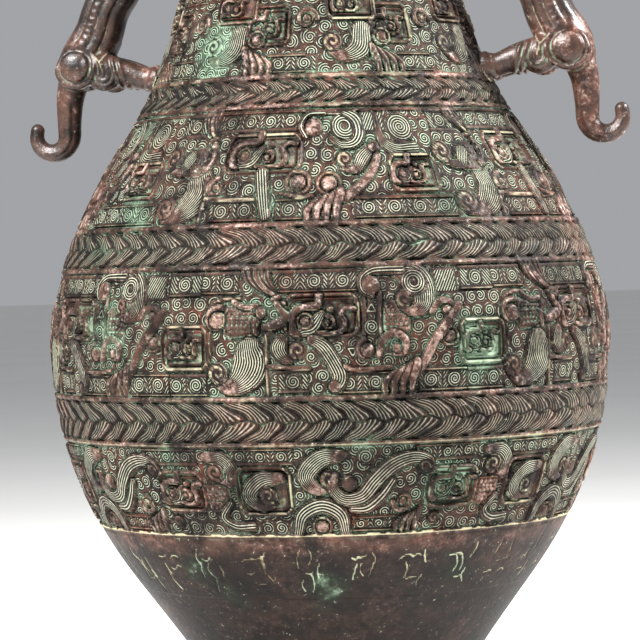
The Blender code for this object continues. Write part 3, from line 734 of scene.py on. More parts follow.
def make_zone(name, z0, z1, columns, rows, groups, drawing, sizes):
    """One ring of the vessel, its relief drawn once and repeated round it."""
    length = TURN * float(wall_radius((z0 + z1) / 2)) / groups
    relief = Relief(length, z1 - z0, columns // groups, rows, sizes.line_pitch / MM)
    drawing(relief)
    relief.hollow = sum(blurred(relief.rise, reach) - relief.rise for reach in (2, 5))
    outline = [(float(wall_radius(z)), z) for z in np.linspace(z1, z0, rows + 1)] + inner_rows(z0, z1)
    item = spun(name, outline, columns)
    points = vertex_rows(item.data)
    radius = np.hypot(points[:, 0], points[:, 1])
    height = points[:, 2] / MM
    outside = radius / MM > wall_radius(height) - WALL / 2
    shift = np.round((np.arctan2(points[:, 1], points[:, 0]) - BAND_START) / TURN * columns)
    row = np.clip(np.round((height - z0) / (z1 - z0) * rows).astype(int), 0, rows)
    column = shift.astype(int) % (columns // groups)

    def drawn(values, inside=0.0):
        """A drawing's values at the ring's points, and one value on its inside."""
        return np.where(outside, values[row, column], inside)

    reach = drawn(relief.rise) * sizes.relief_depth * MM + radius
    points[:, :2] *= (reach / radius)[:, None]
    set_places(item.data, points)
    values = {key: drawn(getattr(relief, key)) for key in VALUES}
    write_values(item.data, **{**values, "rise": drawn(relief.rise, GROUND)})
    gap = (relief.centre_s - relief.s + length / 2) % length - length / 2
    angle = BAND_START + shift * TURN / columns + gap[row, column] * TURN / groups / length
    centre_height = z0 + relief.centre_t[row, column]
    centre_radius = wall_radius(centre_height) * MM
    centres = np.stack((centre_radius * np.cos(angle), centre_radius * np.sin(angle), centre_height * MM),
                       axis=1)
    layer = item.data.attributes.new("centre", "FLOAT_VECTOR", "POINT")
    layer.data.foreach_set("vector", centres.astype(np.float32).ravel())
    smooth_shaded(item.data, ZONE_SHARP)
    return item


def rounded(points, radius, steps=4):
    """Outline with its inner corners rounded; points are radius and height."""
    result = [points[0]]
    for before, corner, after in zip(points, points[1:], points[2:]):
        corner_v = Vector(corner)
        to_before = Vector(before) - corner_v
        to_after = Vector(after) - corner_v
        cut = min(radius, to_before.length * 0.45, to_after.length * 0.45)
        start = corner_v + to_before.normalized() * cut
        end = corner_v + to_after.normalized() * cut
        for i in range(steps + 1):
            t = i / steps
            result.append(tuple(start * (1 - t) ** 2 + corner_v * (2 * t * (1 - t)) + end * t ** 2))
    result.append(points[-1])
    return result


def plain_piece(name, outline, closed=True):
    """Turned piece without a drawing."""
    item = spun(name, outline, PLAIN_COLUMNS, closed)
    write_values(item.data)
    smooth_shaded(item.data, PLAIN_SHARP)
    return item


def make_lip():
    """Rim of the mouth, thicker than the wall and rounded."""
    mouth = float(wall_radius(HEIGHT))
    low = float(wall_radius(LIP_BOTTOM))
    return plain_piece("mouth_lip", rounded(
        [(low, LIP_BOTTOM), (low + LIP_STEP, LIP_BOTTOM + LIP_STEP / 2), (mouth + LIP_STEP, HEIGHT),
         (mouth - WALL, HEIGHT), (low - WALL, LIP_BOTTOM)], 1.4))


def make_foot():
    """Flared foot ring, floor and the plain start of the wall, turned as one closed solid."""
    inner_ring = FOOT_RADIUS - FOOT_RING_WIDTH
    outer = [(float(wall_radius(z)), float(z)) for z in np.linspace(FOOT_JOIN, PLAIN_TOP, 14)[::-1]]
    foot = [(FOOT_JOIN_RADIUS, FOOT_JOIN), FOOT_FILLET, (FOOT_RADIUS - FOOT_STEP, FOOT_EDGE),
            (FOOT_RADIUS, FOOT_EDGE), (FOOT_RADIUS, 0.0), (inner_ring, 0.0), (inner_ring, FOOT_EDGE),
            (FOOT_FILLET[0] - WALL, FOOT_FILLET[1]), (FOOT_JOIN_RADIUS - 2 * WALL, FLOOR_UNDERSIDE),
            (0.0, FLOOR_UNDERSIDE)]
    inner = [(float(wall_radius(z)) - WALL, float(z)) for z in np.linspace(FLOOR, PLAIN_TOP, 7)]
    corner = [(0.0, FLOOR), (float(wall_radius(FLOOR)) - 2 * WALL, FLOOR)]
    return plain_piece("foot", corner + inner + outer + rounded(foot, 1.2)[1:], closed=False)


# Handles

HAUNCH = (120.5, 334.5)
HAUNCH_RADIUS = 12.5
CHEST = (99.0, 379.0)
CHEST_RADIUS = 10.5
TRUNK_RADIUS = 11.5
HEAD = (112.0, 402.0)
HEAD_RADIUS = 11.0
MUZZLE_LENGTH = 16.0
MUZZLE_RADIUS = 6.2
EAR_LENGTH = 11.0
EAR_RADIUS = 3.4
LEG_HEIGHT = 328.0
LEG_RADIUS = 6.0
LEG_SPREAD = 7.4
FOREFOOT_HEIGHT = 372.0
FOREFOOT_RADIUS = 5.2
FOOT_PAD = 1.25
TAIL_OUT = 128.5
TAIL_ROOT_RADIUS = 6.6
TAIL_TIP_RADIUS = 3.4
HOOK_HEIGHT = 302.0
HOOK_RADIUS = 8.5
VOLUTE = (107.2, 331.0)
COLLARS = (96.4, 99.4)


def limb(anchor, radius, y, *rows):
    """Path by an anchor: steps out and up from it, share of y, shares of the radius across and deep."""
    return [(anchor[0] + out, y * share, anchor[1] + up, radius * across, radius * deep)
            for out, up, share, across, deep in rows]


def leg_path(y):
    """Hind leg from the wall to the haunch."""
    wall = float(wall_radius(LEG_HEIGHT))
    hock = wall + 0.45 * (HAUNCH[0] - wall)
    return (limb((wall, LEG_HEIGHT), LEG_RADIUS, y, (-1.0, -1.0, 1, FOOT_PAD, FOOT_PAD),
                 (2.6, -0.6, 1, 1.15, 1.18), (7.0, 0, 1, 0.95, 0.95))
            + limb((hock, LEG_HEIGHT), LEG_RADIUS, y, (0, 3.5, 1, 1, 1.15))
            + limb(HAUNCH, LEG_RADIUS, y, (-4.0, 0, 0.9, 1.2, 1.5)))


def foreleg_path(y):
    foot = (float(wall_radius(FOREFOOT_HEIGHT)), FOREFOOT_HEIGHT)
    return (limb(foot, FOREFOOT_RADIUS, y, (-1.0, 0, 1, FOOT_PAD, FOOT_PAD), (10.0, 1.0, 1, 0.9, 0.9))
            + limb(CHEST, FOREFOOT_RADIUS, y, (-2.0, 0, 0.8, 1, 1.3)))


def trunk_path():
    """Trunk from the haunch up and in to the chest, and out again to the head."""
    middle = (0.5 * (HAUNCH[0] + CHEST[0]), HAUNCH[1])
    return (limb(HAUNCH, HAUNCH_RADIUS, 0, (1.0, -4.0, 0, 0.75, 0.70), (0, 2.0, 0, 1, 1))
            + limb(HAUNCH, TRUNK_RADIUS, 0, (-8.0, 16.0, 0, 1, 1.05))
            + limb(middle, TRUNK_RADIUS, 0, (-2.0, 29.0, 0, 1, 1))
            + limb(CHEST, CHEST_RADIUS, 0, (0, 0, 0, 1, 1.1), (3.0, 12.0, 0, 0.85, 0.85))
            + limb(HEAD, HEAD_RADIUS, 0, (-4.0, 0, 0, 0.80, 0.80)))


def tail_path():
    """Tail straight down from the haunch, then hooked out and up."""
    path = (limb(HAUNCH, TAIL_ROOT_RADIUS, 0, (4.0, -3.0, 0, 1.15, 1.25))
            + limb((TAIL_OUT, HAUNCH[1]), TAIL_ROOT_RADIUS, 0, (-0.8, -14.0, 0, 1, 1.05))
            + limb((TAIL_OUT, HOOK_HEIGHT), TAIL_ROOT_RADIUS, 0, (0, 6.0, 0, 0.88, 0.9)))
    thick = TAIL_ROOT_RADIUS * 0.86
    for share in np.linspace(0.0, 1.0, 9):
        turn = math.pi + share * math.radians(200)
        step = (HOOK_RADIUS + HOOK_RADIUS * math.cos(turn), HOOK_RADIUS * math.sin(turn), 0, 1, 1)
        path += limb((TAIL_OUT, HOOK_HEIGHT), thick + (TAIL_TIP_RADIUS - thick) * share, 0, step)
    return path


def muzzle_path():
    return (limb(HEAD, HEAD_RADIUS, 0, (-HEAD_RADIUS * 0.6, 2.0, 0, 0.80, 0.80), (0, 1.0, 0, 1, 0.95))
            + limb(HEAD, MUZZLE_RADIUS, 0, (MUZZLE_LENGTH * 0.6, -2.0, 0, 1, 1),
                   (MUZZLE_LENGTH, -3.0, 0, 0.75, 0.75)))


def ear_path(side):
    y = side * HEAD_RADIUS * 0.55
    foot = (HEAD[0], HEAD[1] + HEAD_RADIUS * 0.75)
    return (limb(HEAD, EAR_RADIUS, y, (-4.0, HEAD_RADIUS * 0.55, 1, 1, 1))
            + limb(foot, EAR_RADIUS, y, (-6.0, EAR_LENGTH * 0.5, 1.4, 1.2, 0.9),
                   (-7.5, EAR_LENGTH, 1.6, 0.4, 0.4)))


def loft(bm, path):
    """Closed limb of rings bridged along a smooth path."""
    rows = smooth_path(path, 4)
    rings = []
    for i, (x, y, z, across, deep) in enumerate(rows):
        ahead = Vector(rows[min(i + 1, len(rows) - 1)][:3]) - Vector(rows[max(i - 1, 0)][:3])
        ahead.normalize()
        side = Vector((0.0, 1.0, 0.0))
        side = (side - ahead * side.dot(ahead)).normalized()
        turn = Matrix((side * across, side.cross(ahead) * deep, ahead)).transposed().to_4x4()
        ring = bmesh.ops.create_circle(bm, cap_ends=i in (0, len(rows) - 1), segments=20, radius=1.0,
                                       matrix=TO_METRES @ Matrix.Translation((x, y, z)) @ turn)
        rings.append(list({edge for vert in ring["verts"] for edge in vert.link_edges}))
    for low, high in zip(rings, rings[1:]):
        bmesh.ops.bridge_loops(bm, edges=low + high)


def lump(bm, place, radii):
    """Rounded lump with its own three half widths."""
    shape = TO_METRES @ Matrix.Translation(place) @ Matrix.Diagonal((*radii, 1.0))
    bmesh.ops.create_uvsphere(bm, u_segments=24, v_segments=14, radius=1.0, matrix=shape)


def grown(item, kind, **settings):
    """The item's mesh after one modifier, which isn't kept."""
    modifier = item.modifiers.new(kind, kind)
    for key, value in settings.items():
        setattr(modifier, key, value)
    bpy.context.view_layer.update()
    mesh = bpy.data.meshes.new_from_object(item.evaluated_get(bpy.context.evaluated_depsgraph_get()))
    item.modifiers.remove(modifier)
    old = item.data
    item.data = mesh
    bpy.data.meshes.remove(old)


def path_place(x, z, path):
    """Run along a path in the handle's plane, and place across it as a share of its half depth."""
    rows = smooth_path(path, 6)
    best = np.full(x.shape, 10 * FAR)
    along, across = np.zeros(x.shape), np.zeros(x.shape)
    run = 0.0
    for a, b in zip(rows, rows[1:]):
        share, distance, lateral, size = beside(x - a[0], z - a[2], b[0] - a[0], b[2] - a[2])
        closer = distance < best
        best = np.where(closer, distance, best)
        along = np.where(closer, run + share * size, along)
        across = np.where(closer, lateral / (a[4] + (b[4] - a[4]) * share), across)
        run += size
    return along, across, run


def carve_handle(points, normals):
    """Height added along the normal, in millimetres, and the pale inlay, for points in millimetres."""
    x, y, z = points.T
    flank = ramp(np.abs(normals[:, 1]) - 0.15, 0.35)

    along, across, run = path_place(x, z, trunk_path())
    trunk = ramp(along - 13.0, 4.0) * ramp(run - 12.0 - along, 5.0) * flank * (np.abs(across) < 1.15)
    curls = 0.5 + 0.5 * np.cos(TURN * (along / 3.4 + 0.35 * np.sign(across)))
    rows = ((0.55, -0.74, 0.13), (-0.75, -0.50, 0.08), (0.45 * curls, -0.22, 0.16), (-0.6, 0.04, 0.07),
            (0.25, 0.30, 0.14), (-0.6, 0.50, 0.07), (0.55, 0.72, 0.12))
    rise = trunk * sum(height * ridge(across + shift, width) for height, shift, width in rows)
    pale = 0.75 * trunk * ridge(across + 0.50, 0.06) * ramp(40.0 - along, 12.0)

    hip = np.hypot(x - HAUNCH[0] - 1.0, z - HAUNCH[1] - 0.5)
    low_half = ramp(HAUNCH[1] + 3.0 - z, 3.0)
    rise += flank * (0.9 * dome(hip, 7.6) - 0.8 * ridge(hip - 8.3, 0.8)
                     + 0.9 * ridge(hip - 10.1, 1.0) * low_half - 0.4 * ridge(hip - 12.0, 0.8) * low_half)
    pale = np.maximum(pale, 0.55 * flank * ridge(hip - 10.1, 1.0) * low_half)

    curl = np.hypot(x - VOLUTE[0], z - VOLUTE[1])
    lower = ramp(VOLUTE[1] + 1.5 - z, 2.0) * ramp(8.6 - curl, 1.0) * flank
    rise += lower * 0.5 * np.cos(TURN * (curl - 3.4) / 2.6)
    pale = np.maximum(pale, 0.7 * lower * ridge(curl - 3.4, 0.7))
    fork_x, fork_z = x - VOLUTE[0] - 1.2, z - VOLUTE[1] - 5.4
    for reach in ((-1.6, -4.8), (-6.0, 10.1), (4.0, 4.2)):
        inlay = flank * ridge(beside(fork_x, fork_z, *reach)[1], 1.0)
        rise += 0.55 * inlay
        pale = np.maximum(pale, 0.75 * inlay)

    leg = ramp(LEG_HEIGHT + 11.0 - z, 2.0) * (x < HAUNCH[0] - 12.0)
    for collar in COLLARS:
        slant = x - collar - 0.30 * (z - LEG_HEIGHT)
        rise += leg * (1.0 * ridge(slant, 0.9) - 0.6 * ridge(slant - 1.9, 0.6))
    near_wall = np.hypot(x, y) - wall_radius(z)
    rise += 0.25 * ridge(near_wall - 3.6, 0.8) - 0.3 * ridge(near_wall - 5.4, 0.8)
    pale = np.maximum(pale, 0.85 * ramp(1.7 - near_wall, 0.7))

    along, across, run = path_place(x, z, tail_path())
    tail = ramp(along - 13.0, 4.0) * (z < HAUNCH[1] - 10.0) * (x > HAUNCH[0] - 4.0)
    tail = tail * ramp(run - along - 1.0, 5.0)
    rise += tail * (0.35 * ridge(across - 0.15, 0.16) - 0.35 * ridge(across - 0.50, 0.14)
                    - 0.20 * ridge(across + 0.30, 0.16))

    for side in (-1, 1):
        eye = np.sqrt((x - HEAD[0] - 2.6) ** 2 + (y - side * 8.6) ** 2 + (z - HEAD[1] - 4.2) ** 2)
        rise += 0.9 * dome(eye, 2.6) - 0.5 * ridge(eye - 3.2, 0.6)
    mouth = z - (HEAD[1] - 4.6 - 0.12 * (x - HEAD[0]))
    rise -= ramp(x - HEAD[0] - 1.0, 3.0) * 0.8 * ridge(mouth, 0.7)
    crown = ramp(z - HEAD[1] + 12.0, 4.0) * ramp(HEAD[0] - 3.0 - x, 3.0)
    mane = np.hypot(x - HEAD[0] - 2.0, z - HEAD[1]) / 2.6
    rise += 0.35 * crown * flank * np.cos(TURN * mane)
    return rise, pale


def eased(mesh, values, rounds):
    """Values averaged with their neighbours' along the edges."""
    pairs = np.empty(len(mesh.edges) * 2, int)
    mesh.edges.foreach_get("vertices", pairs)
    a, b = pairs[0::2], pairs[1::2]
    count = np.bincount(a, minlength=len(values)) + np.bincount(b, minlength=len(values))
    for _ in range(rounds):
        total = np.bincount(a, values[b], len(values)) + np.bincount(b, values[a], len(values))
        values = 0.5 * values + 0.5 * total / np.maximum(count, 1)
    return values


def make_handle(name, side, sizes):
    """Feline handle of limbs grown into one casting, then carved; the left one is turned half round."""
    bm = bmesh.new()
    for path in (trunk_path(), tail_path(), muzzle_path()):
        loft(bm, path)
    tip = tail_path()[-1]
    lump(bm, tip[:3], [tip[3] * 1.05] * 3)
    lump(bm, (HEAD[0] + MUZZLE_LENGTH - 1.4, 0, HEAD[1] - 2.4), (5.6, 5.2, 4.6))
    for way in (-1, 1):
        for path in (leg_path(way * LEG_SPREAD), foreleg_path(way * LEG_SPREAD), ear_path(way)):
            loft(bm, path)
        lump(bm, (HAUNCH[0] + 1.5, way * HAUNCH_RADIUS * 0.72, HAUNCH[1] - 0.5),
             (HAUNCH_RADIUS * 0.80, HAUNCH_RADIUS * 0.40, HAUNCH_RADIUS * 0.82))
        lump(bm, (VOLUTE[0], way * (LEG_SPREAD + 1.6), VOLUTE[1]), (8.6, 4.4, 8.4))
    bmesh.ops.recalc_face_normals(bm, faces=bm.faces)
    item = shaped(name, bm)
    grown(item, "REMESH", mode="VOXEL", voxel_size=sizes.handle_cell)
    grown(item, "SMOOTH", factor=0.5, iterations=4)
    mesh = item.data
    points = vertex_rows(mesh)
    normals = vertex_rows(mesh, "normal")
    rise, pale = carve_handle(points / MM, normals)
    points += normals * rise[:, None] * MM
    radius = np.hypot(points[:, 0], points[:, 1])
    clear = (wall_radius(points[:, 2] / MM) + SOLDER_GAP) * MM
    points[:, :2] *= (np.maximum(radius, clear) / radius)[:, None]
    points = np.clip(points, *(np.array(corner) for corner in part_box("handle_right")))
    set_places(mesh, points)
    normals = vertex_rows(mesh, "normal")
    curve = sum((eased(mesh, place, 3) - place) * normal / MM for place, normal in zip(points.T, normals.T))
    curve = eased(mesh, curve, 1)
    # Convex places get the pale pink of rubbed metal and painted highlight, concave ones the growth of the
    # hollows.
    write_values(mesh, rise=0.25 - curve * 6.0, hollow=curve * 5.0, pale=pale * 0.86)
    if side < 0:
        points[:, :2] *= -1.0
        set_places(mesh, points)
    mesh.shade_smooth()
    return item


# Bronze

class Varying:
    """A number that changes over a surface; arithmetic on it adds Math nodes."""

    def __init__(self, finish, socket):
        self.finish = finish
        self.socket = socket

    def math(self, operation, *others):
        return self.finish.node("ShaderNodeMath", {"operation": operation}, dict(enumerate((self, *others))))

    def __add__(self, other):
        return self.math("ADD", other)

    def __sub__(self, other):
        return self.math("SUBTRACT", other)

    def __mul__(self, other):
        return self.math("MULTIPLY", other)

    def __rsub__(self, other):
        return self.finish.node("ShaderNodeMath", {"operation": "SUBTRACT"}, {0: other, 1: self})

    __radd__ = __add__
    __rmul__ = __mul__

    def larger(self, other):
        return self.math("MAXIMUM", other)

    def step(self, low, high):
        """Smooth change from 0 at low to 1 at high."""
        return self.finish.node("ShaderNodeMapRange", {"interpolation_type": "SMOOTHSTEP"},
                                {"Value": self, "From Min": low, "From Max": high})


class Finish:
    """One material, its nodes and its Principled shader."""

    def __init__(self, name):
        self.material = bpy.data.materials.new(name)
        self.material.use_nodes = True
        self.tree = self.material.node_tree
        self.place = self.node("ShaderNodeTexCoord", output=3)

    def node(self, kind, settings=None, inputs=None, output=0):
        """Add one node: its settings first, then the values or links of its sockets."""
        node = self.tree.nodes.new(kind)
        for key, value in (settings or {}).items():
            setattr(node, key, value)
        self.give(node, inputs or {})
        return Varying(self, node.outputs[output])

    def give(self, node, inputs):
        """Set or link a node's sockets."""
        for key, value in inputs.items():
            if isinstance(value, Varying):
                self.tree.links.new(value.socket, node.inputs[key])
            else:
                node.inputs[key].default_value = value

    def surface(self, inputs):
        """Give the Principled shader its values."""
        self.give(self.tree.nodes["Principled BSDF"], inputs)

    def vector(self, operation, *values, output=0):
        """Vector Math node; its output 1 is a number."""
        return self.node("ShaderNodeVectorMath", {"operation": operation}, dict(enumerate(values)), output)

    def noise(self, size, detail, rough, shift=None):
        """Cloudy noise whose lumps are about size metres across; a shift makes it differ from others."""
        place = self.vector("ADD", self.place, shift) if shift else self.place
        return self.node("ShaderNodeTexNoise", None, {"Vector": place, "Scale": 1.0 / size,
                                                      "Detail": detail, "Roughness": rough})

    def stored(self, name, output=2):
        """Number stored on the mesh; output 1 gives a stored place."""
        return self.node("ShaderNodeAttribute", {"attribute_name": name}, output=output)

    def height_of(self, place):
        return self.node("ShaderNodeSeparateXYZ", None, {0: place}, output=2)

    def line_turns(self, pitch):
        """How many lines lie between a place and the start of its shape's lines."""
        centre = self.stored("centre", output=1)
        gap = self.vector("SUBTRACT", self.place, centre)
        outward = self.vector("NORMALIZE", self.vector("MULTIPLY", centre, (1.0, 1.0, 0.0)))
        along = self.vector("CROSS_PRODUCT", (0.0, 0.0, 1.0), outward)
        run = self.vector("DOT_PRODUCT", gap, along, output=1)
        rise = self.height_of(gap)
        far = (run * run + rise * rise).math("SQRT")
        spiral = self.stored("spiral")
        winding = far * (1.0 / pitch) * spiral.math("ABSOLUTE")
        return self.stored("phase") + winding - spiral * rise.math("ARCTAN2", run) * (1.0 / TURN)

    def blend(self, share, first, second):
        """Colour between two colours."""
        first, second = (part if isinstance(part, Varying) else (*part, 1.0) for part in (first, second))
        return self.node("ShaderNodeMix", {"data_type": "RGBA"}, {0: share, 6: first, 7: second}, output=2)


def on_wall(turn, height):
    """Place on the wall, from the degrees right of the view and the height in millimetres."""
    angle = BAND_START + math.radians(turn)
    radius = float(wall_radius(height)) * MM
    return (radius * math.cos(angle), radius * math.sin(angle), height * MM)


# Green blooms on the vessel: degrees right of the view, height, radius and strength
BLOOMS = (
    (-40, 337, 17, 1.0), (-22, 346, 12, 0.6), (-62, 300, 16, 0.55), (-47, 262, 18, 0.7), (-58, 245, 12, 0.5),
    (-50, 205, 24, 0.8), (-12, 262, 13, 0.5), (-10, 224, 14, 0.45), (18, 248, 12, 0.55), (28, 262, 14, 0.7),
    (14, 205, 18, 0.65), (30, 196, 18, 0.75), (44, 214, 18, 0.7), (8, 150, 16, 0.6), (24, 134, 18, 0.8),
    (-22, 138, 16, 0.75), (-34, 150, 12, 0.6), (-38, 96, 14, 0.8), (-2, 88, 16, 0.8), (-30, 84, 14, 0.8),
    (34, 92, 12, 0.5), (62, 286, 14, 0.4), (120, 230, 30, 0.7), (170, 290, 24, 0.7), (205, 180, 30, 0.7),
    (250, 250, 26, 0.7), (150, 130, 30, 0.8), (290, 140, 24, 0.6), (190, 60, 26, 0.8), (60, 50, 22, 0.7),
)


def bloom_share(finish, blooms):
    """How strongly each place lies in one of the green blooms."""
    share = 0.0
    for turn, height, radius, strength in blooms:
        far = finish.vector("DISTANCE", finish.place, on_wall(turn, height), output=1)
        share = far.step(radius * MM * 1.25, radius * MM * 0.25) * strength + share
    return share


def make_bronze(name, colours, sizes, redness, rubbed_and_highlight_share, gloss, blooms=()):
    """Patinated bronze: dark body, rubbed high places with a painted highlight, green and pale growth in the
    hollows, painted shade along the grooves and towards the bottom.
    """
    finish = Finish(name)
    rise, hollow, pale, seam = (finish.stored(key) for key in ("rise", "hollow", "pale", "seam"))
    amount = finish.stored("amount")
    crests = ((finish.line_turns(sizes.line_pitch) * TURN).math("COSINE") * 0.5 + 0.5) * amount
    valleys = amount - crests

    patch = finish.noise(0.045, 4.0, 0.6)
    drift = finish.noise(0.030, 4.0, 0.6, (0.3, 0.1, 0.7))
    spot = finish.noise(0.011, 4.0, 0.65, (0.7, 0.5, 0.2))
    fleck = finish.noise(0.0032, 3.0, 0.7)
    grit = finish.noise(0.0011, 2.0, 0.7, (0.1, 0.9, 0.4))

    body = finish.blend(spot.step(0.35, 0.70), colours.dark_brown, colours.brown)
    red = drift.step(0.50 - redness, 0.78 - redness) * fleck.step(0.30, 0.62)
    body = finish.blend(red * 0.85, body, colours.cuprite)

    low = hollow.step(0.15, 1.20)
    high = rise.step(-0.30, 0.70) * (1.0 - valleys) * (1.0 - low) * (1.0 - seam)
    # Rubbed metal and painted highlight: raised places get a pale pink colour.
    rubbed_and_highlight = high * (fleck * 0.8 + drift * 0.8 + grit * 0.35).step(0.92 - rubbed_and_highlight_share, 1.36 - rubbed_and_highlight_share)
    body = finish.blend(rubbed_and_highlight, body, colours.rubbed_and_highlight)

    growth = patch * 0.80 + spot * 0.60 + low * 0.22 - high * 0.10
    if blooms:
        growth = growth + bloom_share(finish, blooms) * 0.37
    green = growth.step(0.84, 1.06)
    light_green = (growth + fleck * 0.25).step(1.10, 1.36)
    body = finish.blend(green * 0.8, body, colours.verdigris)
    body = finish.blend(light_green * 0.85, body, colours.pale_green)

    crust = (pale * (patch * 0.75 + spot * 0.60 + fleck * 0.30)).step(0.40, 0.70)
    minty = growth.step(0.66, 0.96)
    crust_colour = finish.blend(minty * 0.7, colours.crust, colours.pale_green)
    body = finish.blend(crust * 0.85, body, crust_colour)
    # Painted shade: the grooves round the figures and the valleys of the fine lines are painted near black.
    body = finish.blend(seam.step(0.30, 0.80).larger(valleys.step(0.25, 0.75)) * 0.94, body, colours.black_and_shade)
    filled = (patch * 0.9 + spot * 0.6 + fleck * 0.45).step(0.74, 1.14)
    deposit = low * (spot * 0.8 + fleck * 0.7).step(0.66, 0.98)
    fill = (crests.step(0.54, 0.98) * (0.10 + filled * 0.72)).larger(deposit * (1.0 - seam) * 0.7)
    fill_colour = finish.blend(minty, colours.line_fill, colours.pale_green)
    body = finish.blend(fill * 0.85, body, fill_colour)

    # Painted shade: the black patches grow denser towards the bottom, from the inscription's top line down.
    strokes_top = INSCRIPTION_TOP * MM
    shade = finish.height_of(finish.place).step(strokes_top, strokes_top * 0.8) * 0.52
    black_and_shade = (drift * 0.55 + spot * 0.6 + shade).step(0.66, 0.84) * (1.0 - crust) * (1.0 - light_green)
    body = finish.blend(black_and_shade * (1.0 - fill * 0.6) * 0.8, body, colours.black_and_shade)
    body = finish.blend((grit * 0.6 + fleck * 0.6).step(0.73, 0.84) * 0.5, body, colours.line_fill)

    growths = (green * 0.7).larger(crust).larger(fill * 0.6)
    relief = crests * (sizes.line_depth / MM) + (fleck - 0.5) * 0.24 + (grit - 0.5) * 0.14 + crust * 0.10
    finish.surface({
        "Base Color": body,
        "Metallic": (rubbed_and_highlight * 0.55 + 0.05) * (1.0 - growths.step(0.1, 0.8)) * (1.0 - seam),
        "Roughness": 0.52 - gloss - rubbed_and_highlight * 0.16 + growths * 0.26 + seam * 0.3 + (grit - 0.5) * 0.2,
        "Specular IOR Level": 0.08 + 2.0 * gloss,
        "Normal": finish.node("ShaderNodeBump", None, {"Strength": 1.0, "Distance": MM, "Height": relief}),
    })
    return finish.material


# Settings

def number_setting(name, description, default, **limits):
    return bpy.props.FloatProperty(name=name, description=description, default=default, **limits)


def colour_setting(name, description, default):
    return bpy.props.FloatVectorProperty(name=name, description=description, default=default, size=3,
                                         min=0.0, max=1.0, subtype="COLOR")


class VaseSizes(bpy.types.PropertyGroup):
    """Sizes of the relief and of the handles' carving."""

    relief_depth: number_setting("Relief Depth", "Share of the full depth of the relief", 1.0,
                                 min=0.0, max=1.0, subtype="FACTOR")
    line_pitch: number_setting("Line Pitch", "Distance between the fine cast lines", 0.00120,
                               min=0.0005, max=0.005, precision=5, unit="LENGTH")
    line_depth: number_setting("Line Depth", "Depth of the fine cast lines", 0.00035,
                               min=0.0, max=0.001, precision=5, unit="LENGTH")
    handle_cell: number_setting("Handle Cell", "Size of the faces that the handles are carved in", 0.00082,
                                min=0.0004, max=0.003, precision=5, unit="LENGTH")


class BronzeColours(bpy.types.PropertyGroup):
    """Colours of the bronze and of what has grown on it."""

    dark_brown: colour_setting("Dark Brown", "Darkest sound bronze", (0.008, 0.005, 0.004))
    brown: colour_setting("Brown", "Sound bronze", (0.060, 0.030, 0.021))
    cuprite: colour_setting("Cuprite", "Red patches", (0.140, 0.037, 0.018))
    # Rubbed metal and painted highlight on the raised places
    rubbed_and_highlight: colour_setting("Worn", "Rubbed high places", (0.470, 0.350, 0.300))
    verdigris: colour_setting("Verdigris", "Green growth", (0.052, 0.084, 0.050))
    pale_green: colour_setting("Pale Green", "Thick green growth", (0.290, 0.410, 0.290))
    line_fill: colour_setting("Line Fill", "Growth in the fine lines", (0.520, 0.550, 0.400))
    crust: colour_setting("Crust", "Pale growth on the raised lines", (0.470, 0.430, 0.270))
    # Near black for dark patches and for painted shade in grooves, line valleys and towards the bottom
    black_and_shade: colour_setting("Black", "Black patches", (0.004, 0.0035, 0.003))


class StudioSettings(bpy.types.PropertyGroup):
    """Floor, lights and camera."""

    floor_size: number_setting("Floor Size", "Length of each side of the floor", 40.0, unit="LENGTH")
    floor_colour: colour_setting("Floor Colour", "Colour of the plain floor", (0.84, 0.83, 0.81))
    key_power: number_setting("Key Power", "Power of the main soft light", 74.0, unit="POWER")
    side_power: number_setting("Side Power", "Power of the soft light from the right", 56.0, unit="POWER")
    surround: number_setting("Surround", "Strength of the pale surroundings", 0.42, subtype="FACTOR")
    camera_distance: number_setting("Camera Distance", "Distance from the vase's axis", 1.5, unit="LENGTH")
    camera_height: number_setting("Camera Height", "Height of the camera", 0.2347, unit="LENGTH")


class VaseSettings(bpy.types.PropertyGroup):
    """All settings of the vase."""

    sizes: bpy.props.PointerProperty(type=VaseSizes)
    colours: bpy.props.PointerProperty(type=BronzeColours)
    studio: bpy.props.PointerProperty(type=StudioSettings)


# Operators

def add_to_vessel(piece, settings):
    """Give a piece the vessel's bronze, made once, and its place in the frame."""
    name = "vessel_bronze_finish"
    finish = (bpy.data.materials.get(name)
              or make_bronze(name, settings.colours, settings.sizes, 0.02, 0.0, 0.02, BLOOMS))
    piece.data.materials.append(finish)
    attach(piece, "root")
    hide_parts("vessel")


class HUVASE_OT_zones(bpy.types.Operator):
    """Build the bands of beasts, the plaited mouldings and the plain walls of the vessel"""

    bl_idname = "hu_vase.zones"
    bl_label = "Vessel Zones"

    def execute(self, context):
        settings = context.scene.hu_vase
        for zone in ZONES:
            add_to_vessel(make_zone(*zone, settings.sizes), settings)
        return {"FINISHED"}


class HUVASE_OT_lip_and_foot(bpy.types.Operator):
    """Build the mouth's lip and the foot with the vase's floor"""

    bl_idname = "hu_vase.lip_and_foot"
    bl_label = "Lip and Foot"

    def execute(self, context):
        settings = context.scene.hu_vase
        for piece in (make_lip(), make_foot()):
            add_to_vessel(piece, settings)
        return {"FINISHED"}


class HUVASE_OT_handles(bpy.types.Operator):
    """Build the two feline handles"""

    bl_idname = "hu_vase.handles"
    bl_label = "Feline Handles"

    def execute(self, context):
        settings = context.scene.hu_vase
        finish = make_bronze("handle_bronze_finish", settings.colours, settings.sizes, 0.04, -0.07, 0.14)
        for name, side in (("right", 1), ("left", -1)):
            piece = make_handle("feline_handle_" + name, side, settings.sizes)
            piece.data.materials.append(finish)
            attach(piece, "root")
            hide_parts("handle_" + name)
        return {"FINISHED"}


